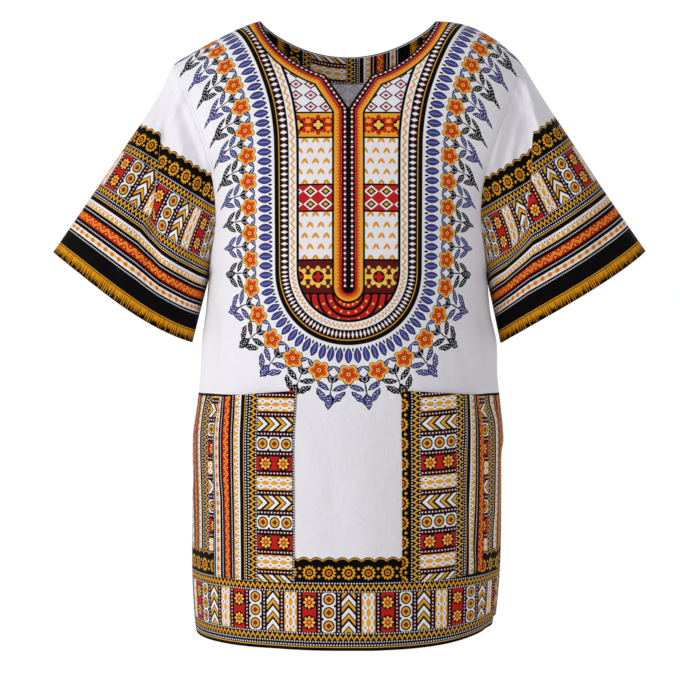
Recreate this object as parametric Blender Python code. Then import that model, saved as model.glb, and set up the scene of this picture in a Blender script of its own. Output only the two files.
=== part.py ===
"""Dashiki shirt: hollow cloth walls in the shape the shirt has when it is worn.

Metres, +Z up, front towards -Y, the wearer's left arm towards +X. The origin is where the
wearer's shoulders hold the shirt: midway between the neck ends of the two shoulder seams.

Every surface is a function of two running numbers. A panel runs by column (-1 to 1, across)
and row (0 at the shoulder and neck, 1 at the underarm, 2 at the hem). A sleeve runs by turn
(0 on top, half a turn at the underarm) and reach (0 at the armhole, 1 at the cuff). Folds are
added to those surfaces, and each wall gets its thickness inwards.
"""

import math
from collections import namedtuple

import bmesh
import bpy
from mathutils import Vector

# Cloth and seams.
CLOTH = 0.0015
SEAM_GAP = 0.0005
LAYER_GAP = 0.0007
FACING_GAP = 0.0008

# Heights and half widths of the cut, seen from the front.
HEM_HEIGHT = -0.7575
UNDERARM_HEIGHT = -0.315
UNDERARM_X = 0.173
TIP_HEIGHT = -0.0525
TIP_X = 0.217
NECK_X = 0.108
RIDGE_POWER_LEFT = 1.35
RIDGE_POWER_RIGHT = 2.7

# The hem hangs a little higher towards the right-hand side, from this reach outwards.
HEM_RISE = 0.009
HEM_RISE_START = 0.55

# Neck edge and the open slit at its front.
NECK_DROP_FRONT = 0.082
NECK_DROP_BACK = 0.036
NECK_POWER_FRONT = 0.7
NECK_POWER_BACK = 0.9
SLIT_HALF_WIDTH = 0.0278
SLIT_POINT_HEIGHT = -0.120

# Armhole: how far it sags towards the neck, and how deep it is before and behind.
ARMHOLE_SAG = 0.0265
ARMHOLE_SAG_POWER = 1.3
ARMHOLE_DEPTH_FRONT = 0.078
ARMHOLE_DEPTH_BACK = 0.072

# Sleeve: half depth of the cuff, and the sleeve's fullness before and behind.
CUFF_HALF_DEPTH = 0.058
SLEEVE_FULLNESS = 0.006

# Patch pockets on the front, and the facing inside the back neck.
POCKET_INNER_COLUMN = 0.190
POCKET_OUTER_COLUMN = 0.613
POCKET_TOP_INNER = -0.457
POCKET_TOP_OUTER = -0.467
POCKET_BOTTOM = -0.680
POCKET_EASE = 0.002
FACING_WIDTH = 0.036

# Roundness of the body in plan: 2 is an ellipse, more is squarer.
PLAN_POWER = 2.2

FRONT = -1
BACK = 1
LEFT = -1
RIGHT = 1

# The two ends of each cuff's flat width, given as on the right-hand side, how far the cuff
# hangs between them, and how much of that lies towards the body.
Cuff = namedtuple("Cuff", "top_x top_height bottom_x bottom_height droop skew")
CUFFS = {
    LEFT: Cuff(0.368, -0.2875, 0.1945, -0.4005, 0.007, 0.8),
    RIGHT: Cuff(0.3715, -0.2860, 0.1905, -0.4010, 0.001, 0.0),
}

# How far the top line of each sleeve stands off a straight one, along its reach.
TopLine = namedtuple("TopLine", "reach left right")
TOP_LINES = (
    TopLine(0.00, 0.000, 0.000),
    TopLine(0.18, -0.006, -0.002),
    TopLine(0.40, -0.005, -0.002),
    TopLine(0.68, -0.003, -0.002),
    TopLine(1.00, 0.000, 0.000),
)

# Body below the underarm. Half widths on each side and depths before and behind the middle.
Section = namedtuple("Section", "height left right front back")
SECTIONS = (
    Section(-0.3150, 0.1730, 0.1730, 0.145, 0.125),
    Section(-0.3650, 0.1775, 0.1775, 0.148, 0.125),
    Section(-0.4000, 0.1820, 0.1850, 0.152, 0.126),
    Section(-0.4400, 0.1840, 0.1860, 0.157, 0.129),
    Section(-0.4775, 0.1880, 0.1900, 0.163, 0.133),
    Section(-0.5150, 0.1940, 0.1935, 0.168, 0.138),
    Section(-0.6000, 0.1925, 0.1935, 0.176, 0.148),
    Section(-0.6900, 0.1920, 0.1910, 0.183, 0.158),
    Section(-0.7575, 0.1880, 0.1840, 0.185, 0.163),
)

# Folds of the yoke and sleeves, from (x0, z0) to (x1, z1) as seen from the front.
# A positive depth is a trough, a negative one is a ridge.
Crease = namedtuple("Crease", "face x0 z0 x1 z1 width depth")
CREASES = (
    Crease(FRONT, -0.197, -0.110, -0.167, -0.191, 0.013, 0.007),
    Crease(FRONT, -0.166, -0.198, -0.158, -0.262, 0.012, 0.007),
    Crease(FRONT, -0.146, -0.150, -0.150, -0.232, 0.013, -0.005),
    Crease(FRONT, -0.221, -0.082, -0.237, -0.182, 0.011, 0.008),
    Crease(FRONT, -0.240, -0.190, -0.250, -0.275, 0.014, 0.005),
    Crease(FRONT, -0.268, -0.165, -0.292, -0.262, 0.020, -0.005),
    Crease(FRONT, 0.187, -0.112, 0.171, -0.190, 0.013, 0.008),
    Crease(FRONT, 0.170, -0.196, 0.165, -0.250, 0.012, 0.006),
    Crease(FRONT, 0.206, -0.125, 0.197, -0.170, 0.010, 0.005),
    Crease(FRONT, 0.197, -0.110, 0.186, -0.180, 0.009, -0.004),
    Crease(FRONT, 0.221, -0.070, 0.226, -0.185, 0.012, 0.007),
    Crease(FRONT, 0.255, -0.160, 0.288, -0.285, 0.020, -0.005),
    Crease(BACK, -0.192, -0.105, -0.163, -0.215, 0.014, 0.007),
    Crease(BACK, -0.225, -0.090, -0.243, -0.205, 0.013, 0.006),
    Crease(BACK, -0.140, -0.150, -0.146, -0.255, 0.015, -0.005),
    Crease(BACK, 0.190, -0.100, 0.166, -0.225, 0.013, 0.007),
    Crease(BACK, 0.224, -0.085, 0.236, -0.190, 0.012, 0.006),
    Crease(BACK, 0.143, -0.160, 0.140, -0.250, 0.016, -0.004),
)

# Long soft folds of the body, by angle from the middle of the front (degrees, +90 on the right).
Drape = namedtuple("Drape", "top_angle top bottom_angle bottom width depth")
DRAPES = (
    Drape(-70.0, -0.350, -66.0, -0.455, 0.022, 0.006),
    Drape(71.0, -0.350, 68.0, -0.470, 0.020, 0.006),
    Drape(-34.0, -0.430, -27.0, -0.760, 0.030, 0.003),
    Drape(22.0, -0.470, 26.0, -0.760, 0.034, 0.004),
    Drape(-96.0, -0.480, -101.0, -0.760, 0.030, 0.006),
    Drape(84.0, -0.520, 79.0, -0.760, 0.026, 0.006),
    Drape(128.0, -0.400, 122.0, -0.760, 0.032, 0.007),
    Drape(163.0, -0.450, 160.0, -0.760, 0.030, -0.005),
    Drape(-168.0, -0.430, -164.0, -0.760, 0.030, 0.006),
    Drape(-133.0, -0.400, -138.0, -0.760, 0.032, 0.007),
)
DRAPE_START = 0.03

# Folds fade out over this depth next to the side and shoulder seams.
SEAM_CALM = 0.030

# Mesh steps. The column stops hold the slit, the neck point and the pocket's edges.
COLUMN_STOPS = (
    (SLIT_HALF_WIDTH / TIP_X, 2),
    (POCKET_INNER_COLUMN, 1),
    (NECK_X / TIP_X, 5),
    (POCKET_OUTER_COLUMN, 2),
    (1.0, 6),
)
YOKE_ROWS = 14
SLEEVE_ROWS = 8
POCKET_ROWS = 8
BODY_STOPS = (
    ((POCKET_TOP_INNER + POCKET_TOP_OUTER) / 2.0, 5),
    (POCKET_BOTTOM, POCKET_ROWS),
    (HEM_HEIGHT, 3),
)
FACING_ROWS = 4

PROBE = 0.004

# Colours are linear RGB.
WHITE_COTTON = (0.80, 0.78, 0.83)
BLACK_BORDER = (0.030, 0.022, 0.020)
MAROON_BORDER = (0.16, 0.040, 0.022)
GOLD_BORDER = (0.62, 0.30, 0.030)
COTTON_ROUGHNESS = 0.85


def mix(low, high, share):
    """Return the value that lies the given share of the way from low to high."""
    return low + (high - low) * share


def smooth_step(share):
    """Return an eased 0 to 1 ramp, level at both ends."""
    bounded = min(max(share, 0.0), 1.0)
    return bounded * bounded * (3.0 - 2.0 * bounded)


def table_value(rows, place, field):
    """Return one column's value at a place, on a smooth curve through a table's rows.

    The table's first column holds the places, in rising or falling order.
    """
    rising = rows[-1][0] > rows[0][0]
    index = 0
    while index < len(rows) - 2 and (place > rows[index + 1][0]) == rising:
        index += 1
    slopes = []
    for knot in (index, index + 1):
        before = rows[max(knot - 1, 0)]
        after = rows[min(knot + 1, len(rows) - 1)]
        slopes.append((getattr(after, field) - getattr(before, field)) / (after[0] - before[0]))
    start = rows[index]
    end = rows[index + 1]
    span = end[0] - start[0]
    share = (place - start[0]) / span
    square = share * share
    cube = square * share
    return (
        (2.0 * cube - 3.0 * square + 1.0) * getattr(start, field)
        + (cube - 2.0 * square + share) * span * slopes[0]
        + (3.0 * square - 2.0 * cube) * getattr(end, field)
        + (cube - square) * span * slopes[1]
    )


def ridge_height(side, x):
    """Return the height of a shoulder seam at a distance from the middle."""
    power = RIDGE_POWER_RIGHT if side == RIGHT else RIDGE_POWER_LEFT
    share = max(x - NECK_X, 0.0) / (TIP_X - NECK_X)
    return TIP_HEIGHT * share ** power


def neck_height(face, x):
    """Return the height of the neck edge, with the slit at the front."""
    inside = max(1.0 - (x / NECK_X) ** 2, 0.0)
    if face == BACK:
        return -NECK_DROP_BACK * inside ** NECK_POWER_BACK
    if x >= SLIT_HALF_WIDTH:
        return -NECK_DROP_FRONT * inside ** NECK_POWER_FRONT
    corner = neck_height(face, SLIT_HALF_WIDTH)
    return mix(SLIT_POINT_HEIGHT, corner, x / SLIT_HALF_WIDTH)


def armhole_edge(face, row):
    """Return the armhole's x, depth and height at a yoke row, for the right-hand side."""
    turn = math.pi * row
    share = (1.0 - math.cos(turn)) / 2.0
    height = mix(TIP_HEIGHT, UNDERARM_HEIGHT, share)
    sag = ARMHOLE_SAG * math.sin(math.pi * share ** ARMHOLE_SAG_POWER)
    x = mix(TIP_X, UNDERARM_X, share) - sag
    full_depth = ARMHOLE_DEPTH_FRONT if face == FRONT else ARMHOLE_DEPTH_BACK
    return x, full_depth * math.sin(turn), height


def yoke_point(face, side, reach, row):
    """Return x, depth and height on the yoke, for reach 0 to 1 from the middle."""
    top_x = reach * TIP_X
    ridge = ridge_height(side, top_x)
    top = neck_height(face, top_x) if top_x < NECK_X else ridge
    span = ridge - UNDERARM_HEIGHT
    middle_fall = math.cos(row * math.pi / 2.0)
    edge_fall = (1.0 + math.cos(row * math.pi)) / 2.0
    fall = (top - UNDERARM_HEIGHT) / span * mix(middle_fall, edge_fall, reach * reach)
    rise = math.sqrt(max(1.0 - fall * fall, 0.0))
    edge_x, edge_depth, _ = armhole_edge(face, row)
    round_spread = math.sin(reach * math.pi / 2.0) ** (2.0 / PLAN_POWER)
    spread = mix(reach, round_spread, row)
    bow = mix(1.0, 1.0 / PLAN_POWER, row)
    full_depth = SECTIONS[0].front if face == FRONT else SECTIONS[0].back
    share = max(1.0 - spread ** PLAN_POWER, 0.0) ** bow
    depth = mix(edge_depth, full_depth * rise, share)
    return edge_x * spread, depth, UNDERARM_HEIGHT + span * fall


def body_point(face, side, reach, row):
    """Return x, depth and height on the body below the underarm."""
    rise = HEM_RISE * smooth_step((reach - HEM_RISE_START) / (1.0 - HEM_RISE_START))
    hem = HEM_HEIGHT + (rise if side == RIGHT else 0.0)
    height = mix(UNDERARM_HEIGHT, hem, row - 1.0)
    half_width = table_value(SECTIONS, height, "right" if side == RIGHT else "left")
    full_depth = table_value(SECTIONS, height, "front" if face == FRONT else "back")
    angle = reach * math.pi / 2.0
    x = half_width * math.sin(angle) ** (2.0 / PLAN_POWER)
    depth = full_depth * max(math.cos(angle), 0.0) ** (2.0 / PLAN_POWER)
    return x, depth, height


def body_row(height):
    """Return the row that lies at a height below the underarm."""
    return 1.0 + (UNDERARM_HEIGHT - height) / (UNDERARM_HEIGHT - HEM_HEIGHT)


def segment_distance(x, z, crease):
    """Return the distance from a point to a crease's line, seen from the front."""
    run_x = crease.x1 - crease.x0
    run_z = crease.z1 - crease.z0
    along = ((x - crease.x0) * run_x + (z - crease.z0) * run_z) / (run_x ** 2 + run_z ** 2)
    along = min(max(along, 0.0), 1.0)
    return math.hypot(x - crease.x0 - along * run_x, z - crease.z0 - along * run_z)


def creased(point, face):
    """Return a point moved in or out of the face by the creases near it."""
    offset = 0.0
    for crease in CREASES:
        if crease.face == face:
            nearness = segment_distance(point.x, point.z, crease) / crease.width
            offset += crease.depth * math.exp(-nearness * nearness)
    calm = smooth_step(abs(point.y) / SEAM_CALM)
    return Vector((point.x, point.y - face * offset * calm, point.z))


def draped(point):
    """Return a body point moved towards or from the middle by the long folds."""
    angle = math.degrees(math.atan2(point.x, -point.y))
    radius = math.hypot(point.x, point.y)
    offset = 0.0
    for fold in DRAPES:
        share = (fold.top - point.z) / (fold.top - fold.bottom)
        centre = mix(fold.top_angle, fold.bottom_angle, share)
        turn = (angle - centre + 180.0) % 360.0 - 180.0
        nearness = math.radians(turn) * radius / fold.width
        below_start = smooth_step((fold.top - point.z) / DRAPE_START)
        above_end = 1.0 - smooth_step((fold.bottom - point.z) / DRAPE_START)
        offset += fold.depth * math.exp(-nearness * nearness) * below_start * above_end
    scale = (radius - offset) / radius
    return Vector((point.x * scale, point.y * scale, point.z))


def panel_point(face, column, row):
    """Return a point on a panel's outer surface, folds included."""
    side = RIGHT if column >= 0.0 else LEFT
    if row <= 1.0:
        x, depth, height = yoke_point(face, side, abs(column), row)
    else:
        x, depth, height = body_point(face, side, abs(column), row)
    point = Vector((side * x, face * depth, height))
    return draped(creased(point, face))


def panel_normal(face, column, row):
    """Return the outward normal of a panel's surface, from points close by."""
    west = panel_point(face, max(column - PROBE, -1.0), row)
    east = panel_point(face, min(column + PROBE, 1.0), row)
    above = panel_point(face, column, max(row - PROBE, 0.0))
    below = panel_point(face, column, min(row + PROBE, 2.0))
    return ((east - west).cross(below - above) * face).normalized()


def armhole_axis(side):
    """Return the unit direction through the armhole, from the body to the sleeve."""
    return Vector((side * (TIP_HEIGHT - UNDERARM_HEIGHT), 0.0, UNDERARM_X - TIP_X)).normalized()


def armhole_outward(side, face, row):
    """Return the direction in which both walls at the armhole seam get their thickness."""
    turn = math.pi * row
    top = Vector((side * 0.785, 0.0, 0.620))
    bottom = Vector((side * 0.184, 0.0, -0.983))
    outward = top * max(math.cos(turn), 0.0) + bottom * max(-math.cos(turn), 0.0)
    outward.y = face * math.sin(turn)
    return outward.normalized()


def panel_pair(face, column, row):
    """Return a panel's outer and inner point, kept clear of the seams."""
    side = RIGHT if column >= 0.0 else LEFT
    point = panel_point(face, column, row)
    outward = panel_normal(face, column, row)
    on_side = abs(column) == 1.0
    on_shoulder = row == 0.0 and abs(column) * TIP_X >= NECK_X
    if on_side and row <= 1.0:
        outward = armhole_outward(side, face, row)
        point = point - armhole_axis(side) * (SEAM_GAP / 2.0)
    elif on_side or on_shoulder:
        outward = Vector((outward.x, 0.0, outward.z)).normalized()
    point.y = face * max(abs(point.y), SEAM_GAP / 2.0)
    return point, point - outward * CLOTH


def cuff_point(side, turn):
    """Return a point on a cuff's edge, which hangs lowest midway round the front and back."""
    cuff = CUFFS[side]
    across = Vector((cuff.top_x - cuff.bottom_x, 0.0, cuff.top_height - cuff.bottom_height)) / 2.0
    middle = Vector((cuff.top_x, 0.0, cuff.top_height)) - across
    down = Vector((across.z, 0.0, -across.x)).normalized()
    angle = 2.0 * math.pi * turn
    droop = cuff.droop * math.sin(angle) ** 2 * (1.0 - cuff.skew * math.cos(angle))
    point = middle + across * math.cos(angle) + down * droop
    return Vector((side * point.x, -CUFF_HALF_DEPTH * math.sin(angle), point.z))


def sleeve_point(side, turn, reach):
    """Return a point on a sleeve's outer surface; turn runs 0 to 1 by way of the front."""
    face = FRONT if turn <= 0.5 else BACK
    start = panel_point(face, side, 2.0 * min(turn, 1.0 - turn))
    cuff = CUFFS[side]
    upward = Vector((side * (cuff.top_x - cuff.bottom_x), 0.0, cuff.top_height - cuff.bottom_height))
    rise = table_value(TOP_LINES, reach, "right" if side == RIGHT else "left")
    angle = 2.0 * math.pi * turn
    point = start.lerp(cuff_point(side, turn), reach)
    point += upward.normalized() * rise * max(math.cos(angle), 0.0)
    point.y -= SLEEVE_FULLNESS * math.sin(math.pi * reach) * math.sin(angle)
    leaving = smooth_step(reach * SLEEVE_ROWS)
    return point.lerp(creased(point, face), leaving)


def sleeve_normal(side, turn, reach):
    """Return the outward normal of a sleeve's surface, from points close by."""
    west = sleeve_point(side, (turn - PROBE) % 1.0, reach)
    east = sleeve_point(side, (turn + PROBE) % 1.0, reach)
    above = sleeve_point(side, turn, max(reach - PROBE, 0.0))
    below = sleeve_point(side, turn, min(reach + PROBE, 1.0))
    return ((east - west).cross(below - above) * side).normalized()


def sleeve_pair(side, turn, reach):
    """Return a sleeve's outer and inner point, kept clear of the armhole seam."""
    point = sleeve_point(side, turn, reach)
    if reach > 0.0:
        return point, point - sleeve_normal(side, turn, reach) * CLOTH
    face = FRONT if turn <= 0.5 else BACK
    outward = armhole_outward(side, face, 2.0 * min(turn, 1.0 - turn))
    point = point + armhole_axis(side) * (SEAM_GAP / 2.0)
    return point, point - outward * CLOTH


def pocket_pair(side, across, down):
    """Return a pocket's outer and inner point, laid on the front panel."""
    column = side * mix(POCKET_INNER_COLUMN, POCKET_OUTER_COLUMN, across)
    top = mix(POCKET_TOP_INNER, POCKET_TOP_OUTER, across)
    row = body_row(mix(top, POCKET_BOTTOM, down))
    outward = panel_normal(FRONT, column, row)
    ease = POCKET_EASE * math.sin(math.pi * across) * (1.0 - smooth_step(2.0 * down))
    inner = panel_point(FRONT, column, row) + outward * (LAYER_GAP + ease)
    return inner + outward * CLOTH, inner


def facing_depth_row(column):
    """Return the row at which the facing's lower edge lies, measured along the cloth."""
    step = 1.0 / 400.0
    row = 0.0
    length = 0.0
    last = panel_point(BACK, column, row)
    while length < FACING_WIDTH:
        row += step
        here = panel_point(BACK, column, row)
        length += (here - last).length
        last = here
    return row


def facing_pair(column, down):
    """Return the facing's outer and inner point, laid inside the back panel."""
    row = facing_depth_row(column) * down
    point, panel_inner = panel_pair(BACK, column, row)
    inward = (panel_inner - point).normalized()
    outer = panel_inner + inward * FACING_GAP
    return outer, outer + inward * CLOTH


def column_stations():
    """Return the panel's columns from -1 to 1, on every stop."""
    right_half = [0.0]
    for stop, count in COLUMN_STOPS:
        start = right_half[-1]
        right_half.extend(mix(start, stop, step / count) for step in range(1, count + 1))
    return [-column for column in reversed(right_half[1:])] + right_half


def row_stations():
    """Return the panel's rows from 0 at the top to 2 at the hem."""
    rows = [step / YOKE_ROWS for step in range(YOKE_ROWS + 1)]
    for stop, count in BODY_STOPS:
        start = rows[-1]
        rows.extend(mix(start, body_row(stop), step / count) for step in range(1, count + 1))
    return rows


def cotton(name, colour):
    """Return a matt cloth material of one colour."""
    material = bpy.data.materials.new(name)
    material.use_nodes = True
    shader = material.node_tree.nodes["Principled BSDF"]
    shader.inputs["Base Color"].default_value = (*colour, 1.0)
    shader.inputs["Roughness"].default_value = COTTON_ROUGHNESS
    shader.inputs["Metallic"].default_value = 0.0
    material.diffuse_color = (*colour, 1.0)
    return material


def quad_strip(mesh, first, second, wrap):
    """Bridge two equal rows of vertices with quads."""
    count = len(first)
    for index in range(count if wrap else count - 1):
        after = (index + 1) % count
        mesh.faces.new((first[index], first[after], second[after], second[index]))


def cloth_wall(name, rows_of_pairs, wrap, colour):
    """Build one closed wall from rows of outer and inner points.

    A wrapped wall is a tube: its rows are rings, and only its two ends get an edge.
    """
    mesh = bmesh.new()
    outer = [[mesh.verts.new(pair[0]) for pair in row] for row in rows_of_pairs]
    inner = [[mesh.verts.new(pair[1]) for pair in row] for row in rows_of_pairs]
    for skin in (outer, inner):
        for first, second in zip(skin, skin[1:]):
            quad_strip(mesh, first, second, wrap)
    quad_strip(mesh, outer[0], inner[0], wrap)
    quad_strip(mesh, outer[-1], inner[-1], wrap)
    if not wrap:
        for end in (0, -1):
            quad_strip(mesh, [row[end] for row in outer], [row[end] for row in inner], False)
    bmesh.ops.recalc_face_normals(mesh, faces=mesh.faces)
    data = bpy.data.meshes.new(name)
    mesh.to_mesh(data)
    mesh.free()
    data.shade_smooth()
    data.set_sharp_from_angle(angle=math.radians(50.0))
    data.materials.append(cotton(name + "_cotton", colour))
    wall = bpy.data.objects.new(name, data)
    bpy.context.scene.collection.objects.link(wall)
    return wall


def build_panel(name, face):
    """Build the front or the back, from shoulder and neck to hem."""
    columns = column_stations()
    rows = [[panel_pair(face, column, row) for column in columns] for row in row_stations()]
    return cloth_wall(name, rows, False, WHITE_COTTON)


def build_sleeve(name, side):
    """Build one short sleeve, a tube from the armhole to the cuff."""
    turns = [step / (2.0 * YOKE_ROWS) for step in range(2 * YOKE_ROWS)]
    reaches = [step / SLEEVE_ROWS for step in range(SLEEVE_ROWS + 1)]
    rows = [[sleeve_pair(side, turn, reach) for turn in turns] for reach in reaches]
    return cloth_wall(name, rows, True, BLACK_BORDER)


def build_pocket(name, side):
    """Build one patch pocket, open at its top edge."""
    span = POCKET_OUTER_COLUMN - POCKET_INNER_COLUMN
    columns = [
        (column - POCKET_INNER_COLUMN) / span
        for column in column_stations()
        if POCKET_INNER_COLUMN <= column <= POCKET_OUTER_COLUMN
    ]
    downs = [step / POCKET_ROWS for step in range(POCKET_ROWS + 1)]
    rows = [[pocket_pair(side, across, down) for across in columns] for down in downs]
    return cloth_wall(name, rows, False, MAROON_BORDER)


def build_facing(name):
    """Build the facing that shows inside the back of the neck."""
    columns = [column for column in column_stations() if abs(column) * TIP_X <= NECK_X]
    downs = [step / FACING_ROWS for step in range(FACING_ROWS + 1)]
    rows = [[facing_pair(column, down) for column in columns] for down in downs]
    return cloth_wall(name, rows, False, GOLD_BORDER)


def main():
    """Clear the scene and build every piece of the shirt."""
    for old in list(bpy.data.objects):
        bpy.data.objects.remove(old, do_unlink=True)
    build_panel("front", FRONT)
    build_panel("back", BACK)
    build_sleeve("sleeve_left", LEFT)
    build_sleeve("sleeve_right", RIGHT)
    build_pocket("pocket_left", LEFT)
    build_pocket("pocket_right", RIGHT)
    build_facing("neck_facing")


main()
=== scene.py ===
"""Looks of the dashiki shirt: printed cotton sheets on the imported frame, with its stitching.

Every sheet of cloth follows the same surfaces as the solid it replaces, at a finer step and
with more folds. The prints are drawn by the shaders in each sheet's flat-cloth coordinates.
Lengths are metres, and the prints' own sizes are millimetres. The front faces -Y.
"""

import logging
import math
from dataclasses import dataclass, field
from enum import Enum
from itertools import accumulate
from typing import Any, Callable, NamedTuple, Optional, Sequence, Union

import bpy
import numpy as np
from bpy.types import ColorRamp, Material, Node, NodeSocket, NodeTree, Object
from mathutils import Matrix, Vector


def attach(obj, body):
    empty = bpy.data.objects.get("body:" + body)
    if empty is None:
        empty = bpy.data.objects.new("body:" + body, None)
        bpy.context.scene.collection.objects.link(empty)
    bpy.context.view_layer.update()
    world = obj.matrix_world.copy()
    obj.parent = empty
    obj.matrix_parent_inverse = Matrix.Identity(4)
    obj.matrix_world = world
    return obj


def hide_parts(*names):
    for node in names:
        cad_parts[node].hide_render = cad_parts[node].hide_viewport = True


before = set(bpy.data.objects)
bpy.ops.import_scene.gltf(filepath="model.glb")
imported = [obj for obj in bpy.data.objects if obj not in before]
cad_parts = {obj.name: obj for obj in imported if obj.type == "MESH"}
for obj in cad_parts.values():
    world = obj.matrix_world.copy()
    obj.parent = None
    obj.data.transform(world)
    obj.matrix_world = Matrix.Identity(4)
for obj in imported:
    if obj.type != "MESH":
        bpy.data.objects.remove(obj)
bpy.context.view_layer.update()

LOG = logging.getLogger("dashiki")
BODY = "root"
MM = 1000.0

Array = np.ndarray
Colour = tuple[float, float, float]
Rows = Sequence[tuple[float, float]]


class Face(Enum):
    """The two faces of the shirt, with their direction along Y."""

    FRONT = -1
    BACK = 1


class Side(Enum):
    """The two sides of the shirt as seen from the front, with their direction along X."""

    LEFT = -1
    RIGHT = 1


class Crease(NamedTuple):
    """A fold of the yoke or a sleeve along a line seen from the front; a ridge is negative."""

    face: Face
    x0: float
    z0: float
    x1: float
    z1: float
    width: float
    depth: float


class Drape(NamedTuple):
    """A long soft fold of the body, by angle from the middle of the front, in degrees."""

    top_angle: float
    top: float
    bottom_angle: float
    bottom: float
    width: float
    depth: float


class Cuff(NamedTuple):
    """The two ends of a cuff's flat width, its hang between them, and how far that lies inwards."""

    top_x: float
    top_height: float
    bottom_x: float
    bottom_height: float
    droop: float
    skew: float


# The folds of each face and the long folds below them, the deep ones first.
FRONT_FOLDS = (
    (-0.195, -0.109, -0.165, -0.191, 0.013, 0.009),
    (-0.166, -0.198, -0.158, -0.262, 0.012, 0.007),
    (-0.146, -0.150, -0.150, -0.232, 0.013, -0.005),
    (-0.221, -0.082, -0.237, -0.182, 0.011, 0.008),
    (-0.240, -0.190, -0.250, -0.275, 0.014, 0.005),
    (-0.268, -0.165, -0.292, -0.262, 0.020, -0.005),
    (0.202, -0.104, 0.187, -0.190, 0.008, 0.008),
    (0.170, -0.196, 0.165, -0.250, 0.012, 0.006),
    (0.216, -0.132, 0.205, -0.178, 0.008, 0.007),
    (0.219, -0.077, 0.228, -0.139, 0.012, -0.005),
    (0.255, -0.160, 0.288, -0.285, 0.020, -0.005),
    (-0.2115, -0.080, -0.2265, -0.147, 0.0050, 0.0030),
    (-0.2185, -0.084, -0.2345, -0.147, 0.0050, -0.0028),
    (-0.2265, -0.147, -0.2370, -0.262, 0.0055, 0.0030),
    (-0.2345, -0.147, -0.2450, -0.262, 0.0060, -0.0026),
    (-0.2380, -0.266, -0.2470, -0.345, 0.0080, 0.0022),
    (0.2110, -0.085, 0.2225, -0.139, 0.0050, 0.0032),
    (0.2190, -0.085, 0.2305, -0.139, 0.0050, -0.0028),
    (0.2225, -0.139, 0.2180, -0.202, 0.0055, 0.0032),
    (0.2305, -0.139, 0.2265, -0.202, 0.0060, -0.0026),
    (0.2180, -0.205, 0.2060, -0.290, 0.0080, 0.0024),
    (-0.208, -0.140, -0.196, -0.200, 0.006, -0.0025),
    (-0.176, -0.150, -0.160, -0.205, 0.005, 0.0018),
    (-0.262, -0.200, -0.228, -0.290, 0.009, 0.0030),
    (-0.300, -0.220, -0.288, -0.320, 0.012, 0.0025),
    (-0.238, -0.300, -0.222, -0.350, 0.010, 0.0025),
    (0.231, -0.095, 0.240, -0.200, 0.007, -0.0025),
    (0.212, -0.180, 0.205, -0.290, 0.010, 0.0035),
    (0.262, -0.190, 0.240, -0.320, 0.010, 0.0025),
    (0.310, -0.230, 0.318, -0.300, 0.012, 0.0020),
    (0.070, -0.330, 0.120, -0.300, 0.016, 0.0015),
    (-0.060, -0.345, -0.125, -0.300, 0.018, 0.0018),
    (-0.040, -0.480, 0.045, -0.500, 0.020, 0.0012),
)

BACK_FOLDS = (
    (-0.192, -0.105, -0.163, -0.215, 0.014, 0.007),
    (-0.225, -0.090, -0.243, -0.205, 0.013, 0.006),
    (-0.140, -0.150, -0.146, -0.255, 0.015, -0.005),
    (0.190, -0.100, 0.166, -0.225, 0.013, 0.007),
    (0.224, -0.085, 0.236, -0.190, 0.012, 0.006),
    (0.143, -0.160, 0.140, -0.250, 0.016, -0.004),
    (-0.070, -0.120, 0.060, -0.130, 0.018, 0.0020),
    (-0.110, -0.190, -0.160, -0.270, 0.012, 0.0030),
    (0.105, -0.180, 0.158, -0.265, 0.012, 0.0030),
    (0.250, -0.180, 0.232, -0.300, 0.011, 0.0030),
    (-0.256, -0.170, -0.240, -0.300, 0.011, 0.0030),
    (0.300, -0.210, 0.305, -0.310, 0.013, -0.0025),
    (-0.296, -0.230, -0.300, -0.300, 0.013, -0.0025),
)

LONG_FOLDS = (
    (-70.0, -0.350, -66.0, -0.455, 0.022, 0.006),
    (71.0, -0.350, 68.0, -0.470, 0.020, 0.006),
    (-34.0, -0.430, -27.0, -0.760, 0.030, 0.003),
    (22.0, -0.470, 26.0, -0.760, 0.034, 0.004),
    (-96.0, -0.480, -101.0, -0.760, 0.030, 0.006),
    (84.0, -0.520, 79.0, -0.760, 0.026, 0.006),
    (128.0, -0.400, 122.0, -0.760, 0.032, 0.007),
    (163.0, -0.450, 160.0, -0.760, 0.030, -0.005),
    (-168.0, -0.430, -164.0, -0.760, 0.030, 0.006),
    (-133.0, -0.400, -138.0, -0.760, 0.032, 0.007),
    (-54.0, -0.360, -60.0, -0.470, 0.009, 0.0015),
    (48.0, -0.380, 57.0, -0.470, 0.010, 0.0016),
    (-8.0, -0.500, -4.0, -0.640, 0.014, 0.0012),
    (6.0, -0.620, 9.0, -0.760, 0.012, -0.0012),
    (-52.0, -0.560, -49.0, -0.680, 0.010, 0.0016),
    (44.0, -0.500, 50.0, -0.640, 0.009, 0.0018),
    (66.0, -0.600, 62.0, -0.740, 0.011, 0.0018),
    (-78.0, -0.560, -82.0, -0.740, 0.013, -0.0020),
    (100.0, -0.420, 106.0, -0.740, 0.014, -0.0028),
    (143.0, -0.340, 146.0, -0.620, 0.014, 0.0026),
    (178.0, -0.360, 176.0, -0.600, 0.018, 0.0024),
    (-150.0, -0.500, -148.0, -0.740, 0.012, -0.0022),
    (-116.0, -0.380, -120.0, -0.700, 0.015, 0.0026),
)


def mix(low: Any, high: Any, share: Any) -> Any:
    """Return what lies the given share of the way from low to high."""
    return low + (high - low) * share


def smooth_step(share: Any) -> Any:
    """Return an eased 0 to 1 ramp, level at both ends."""
    bounded = np.clip(share, 0.0, 1.0)
    return bounded * bounded * (3.0 - 2.0 * bounded)


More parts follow.
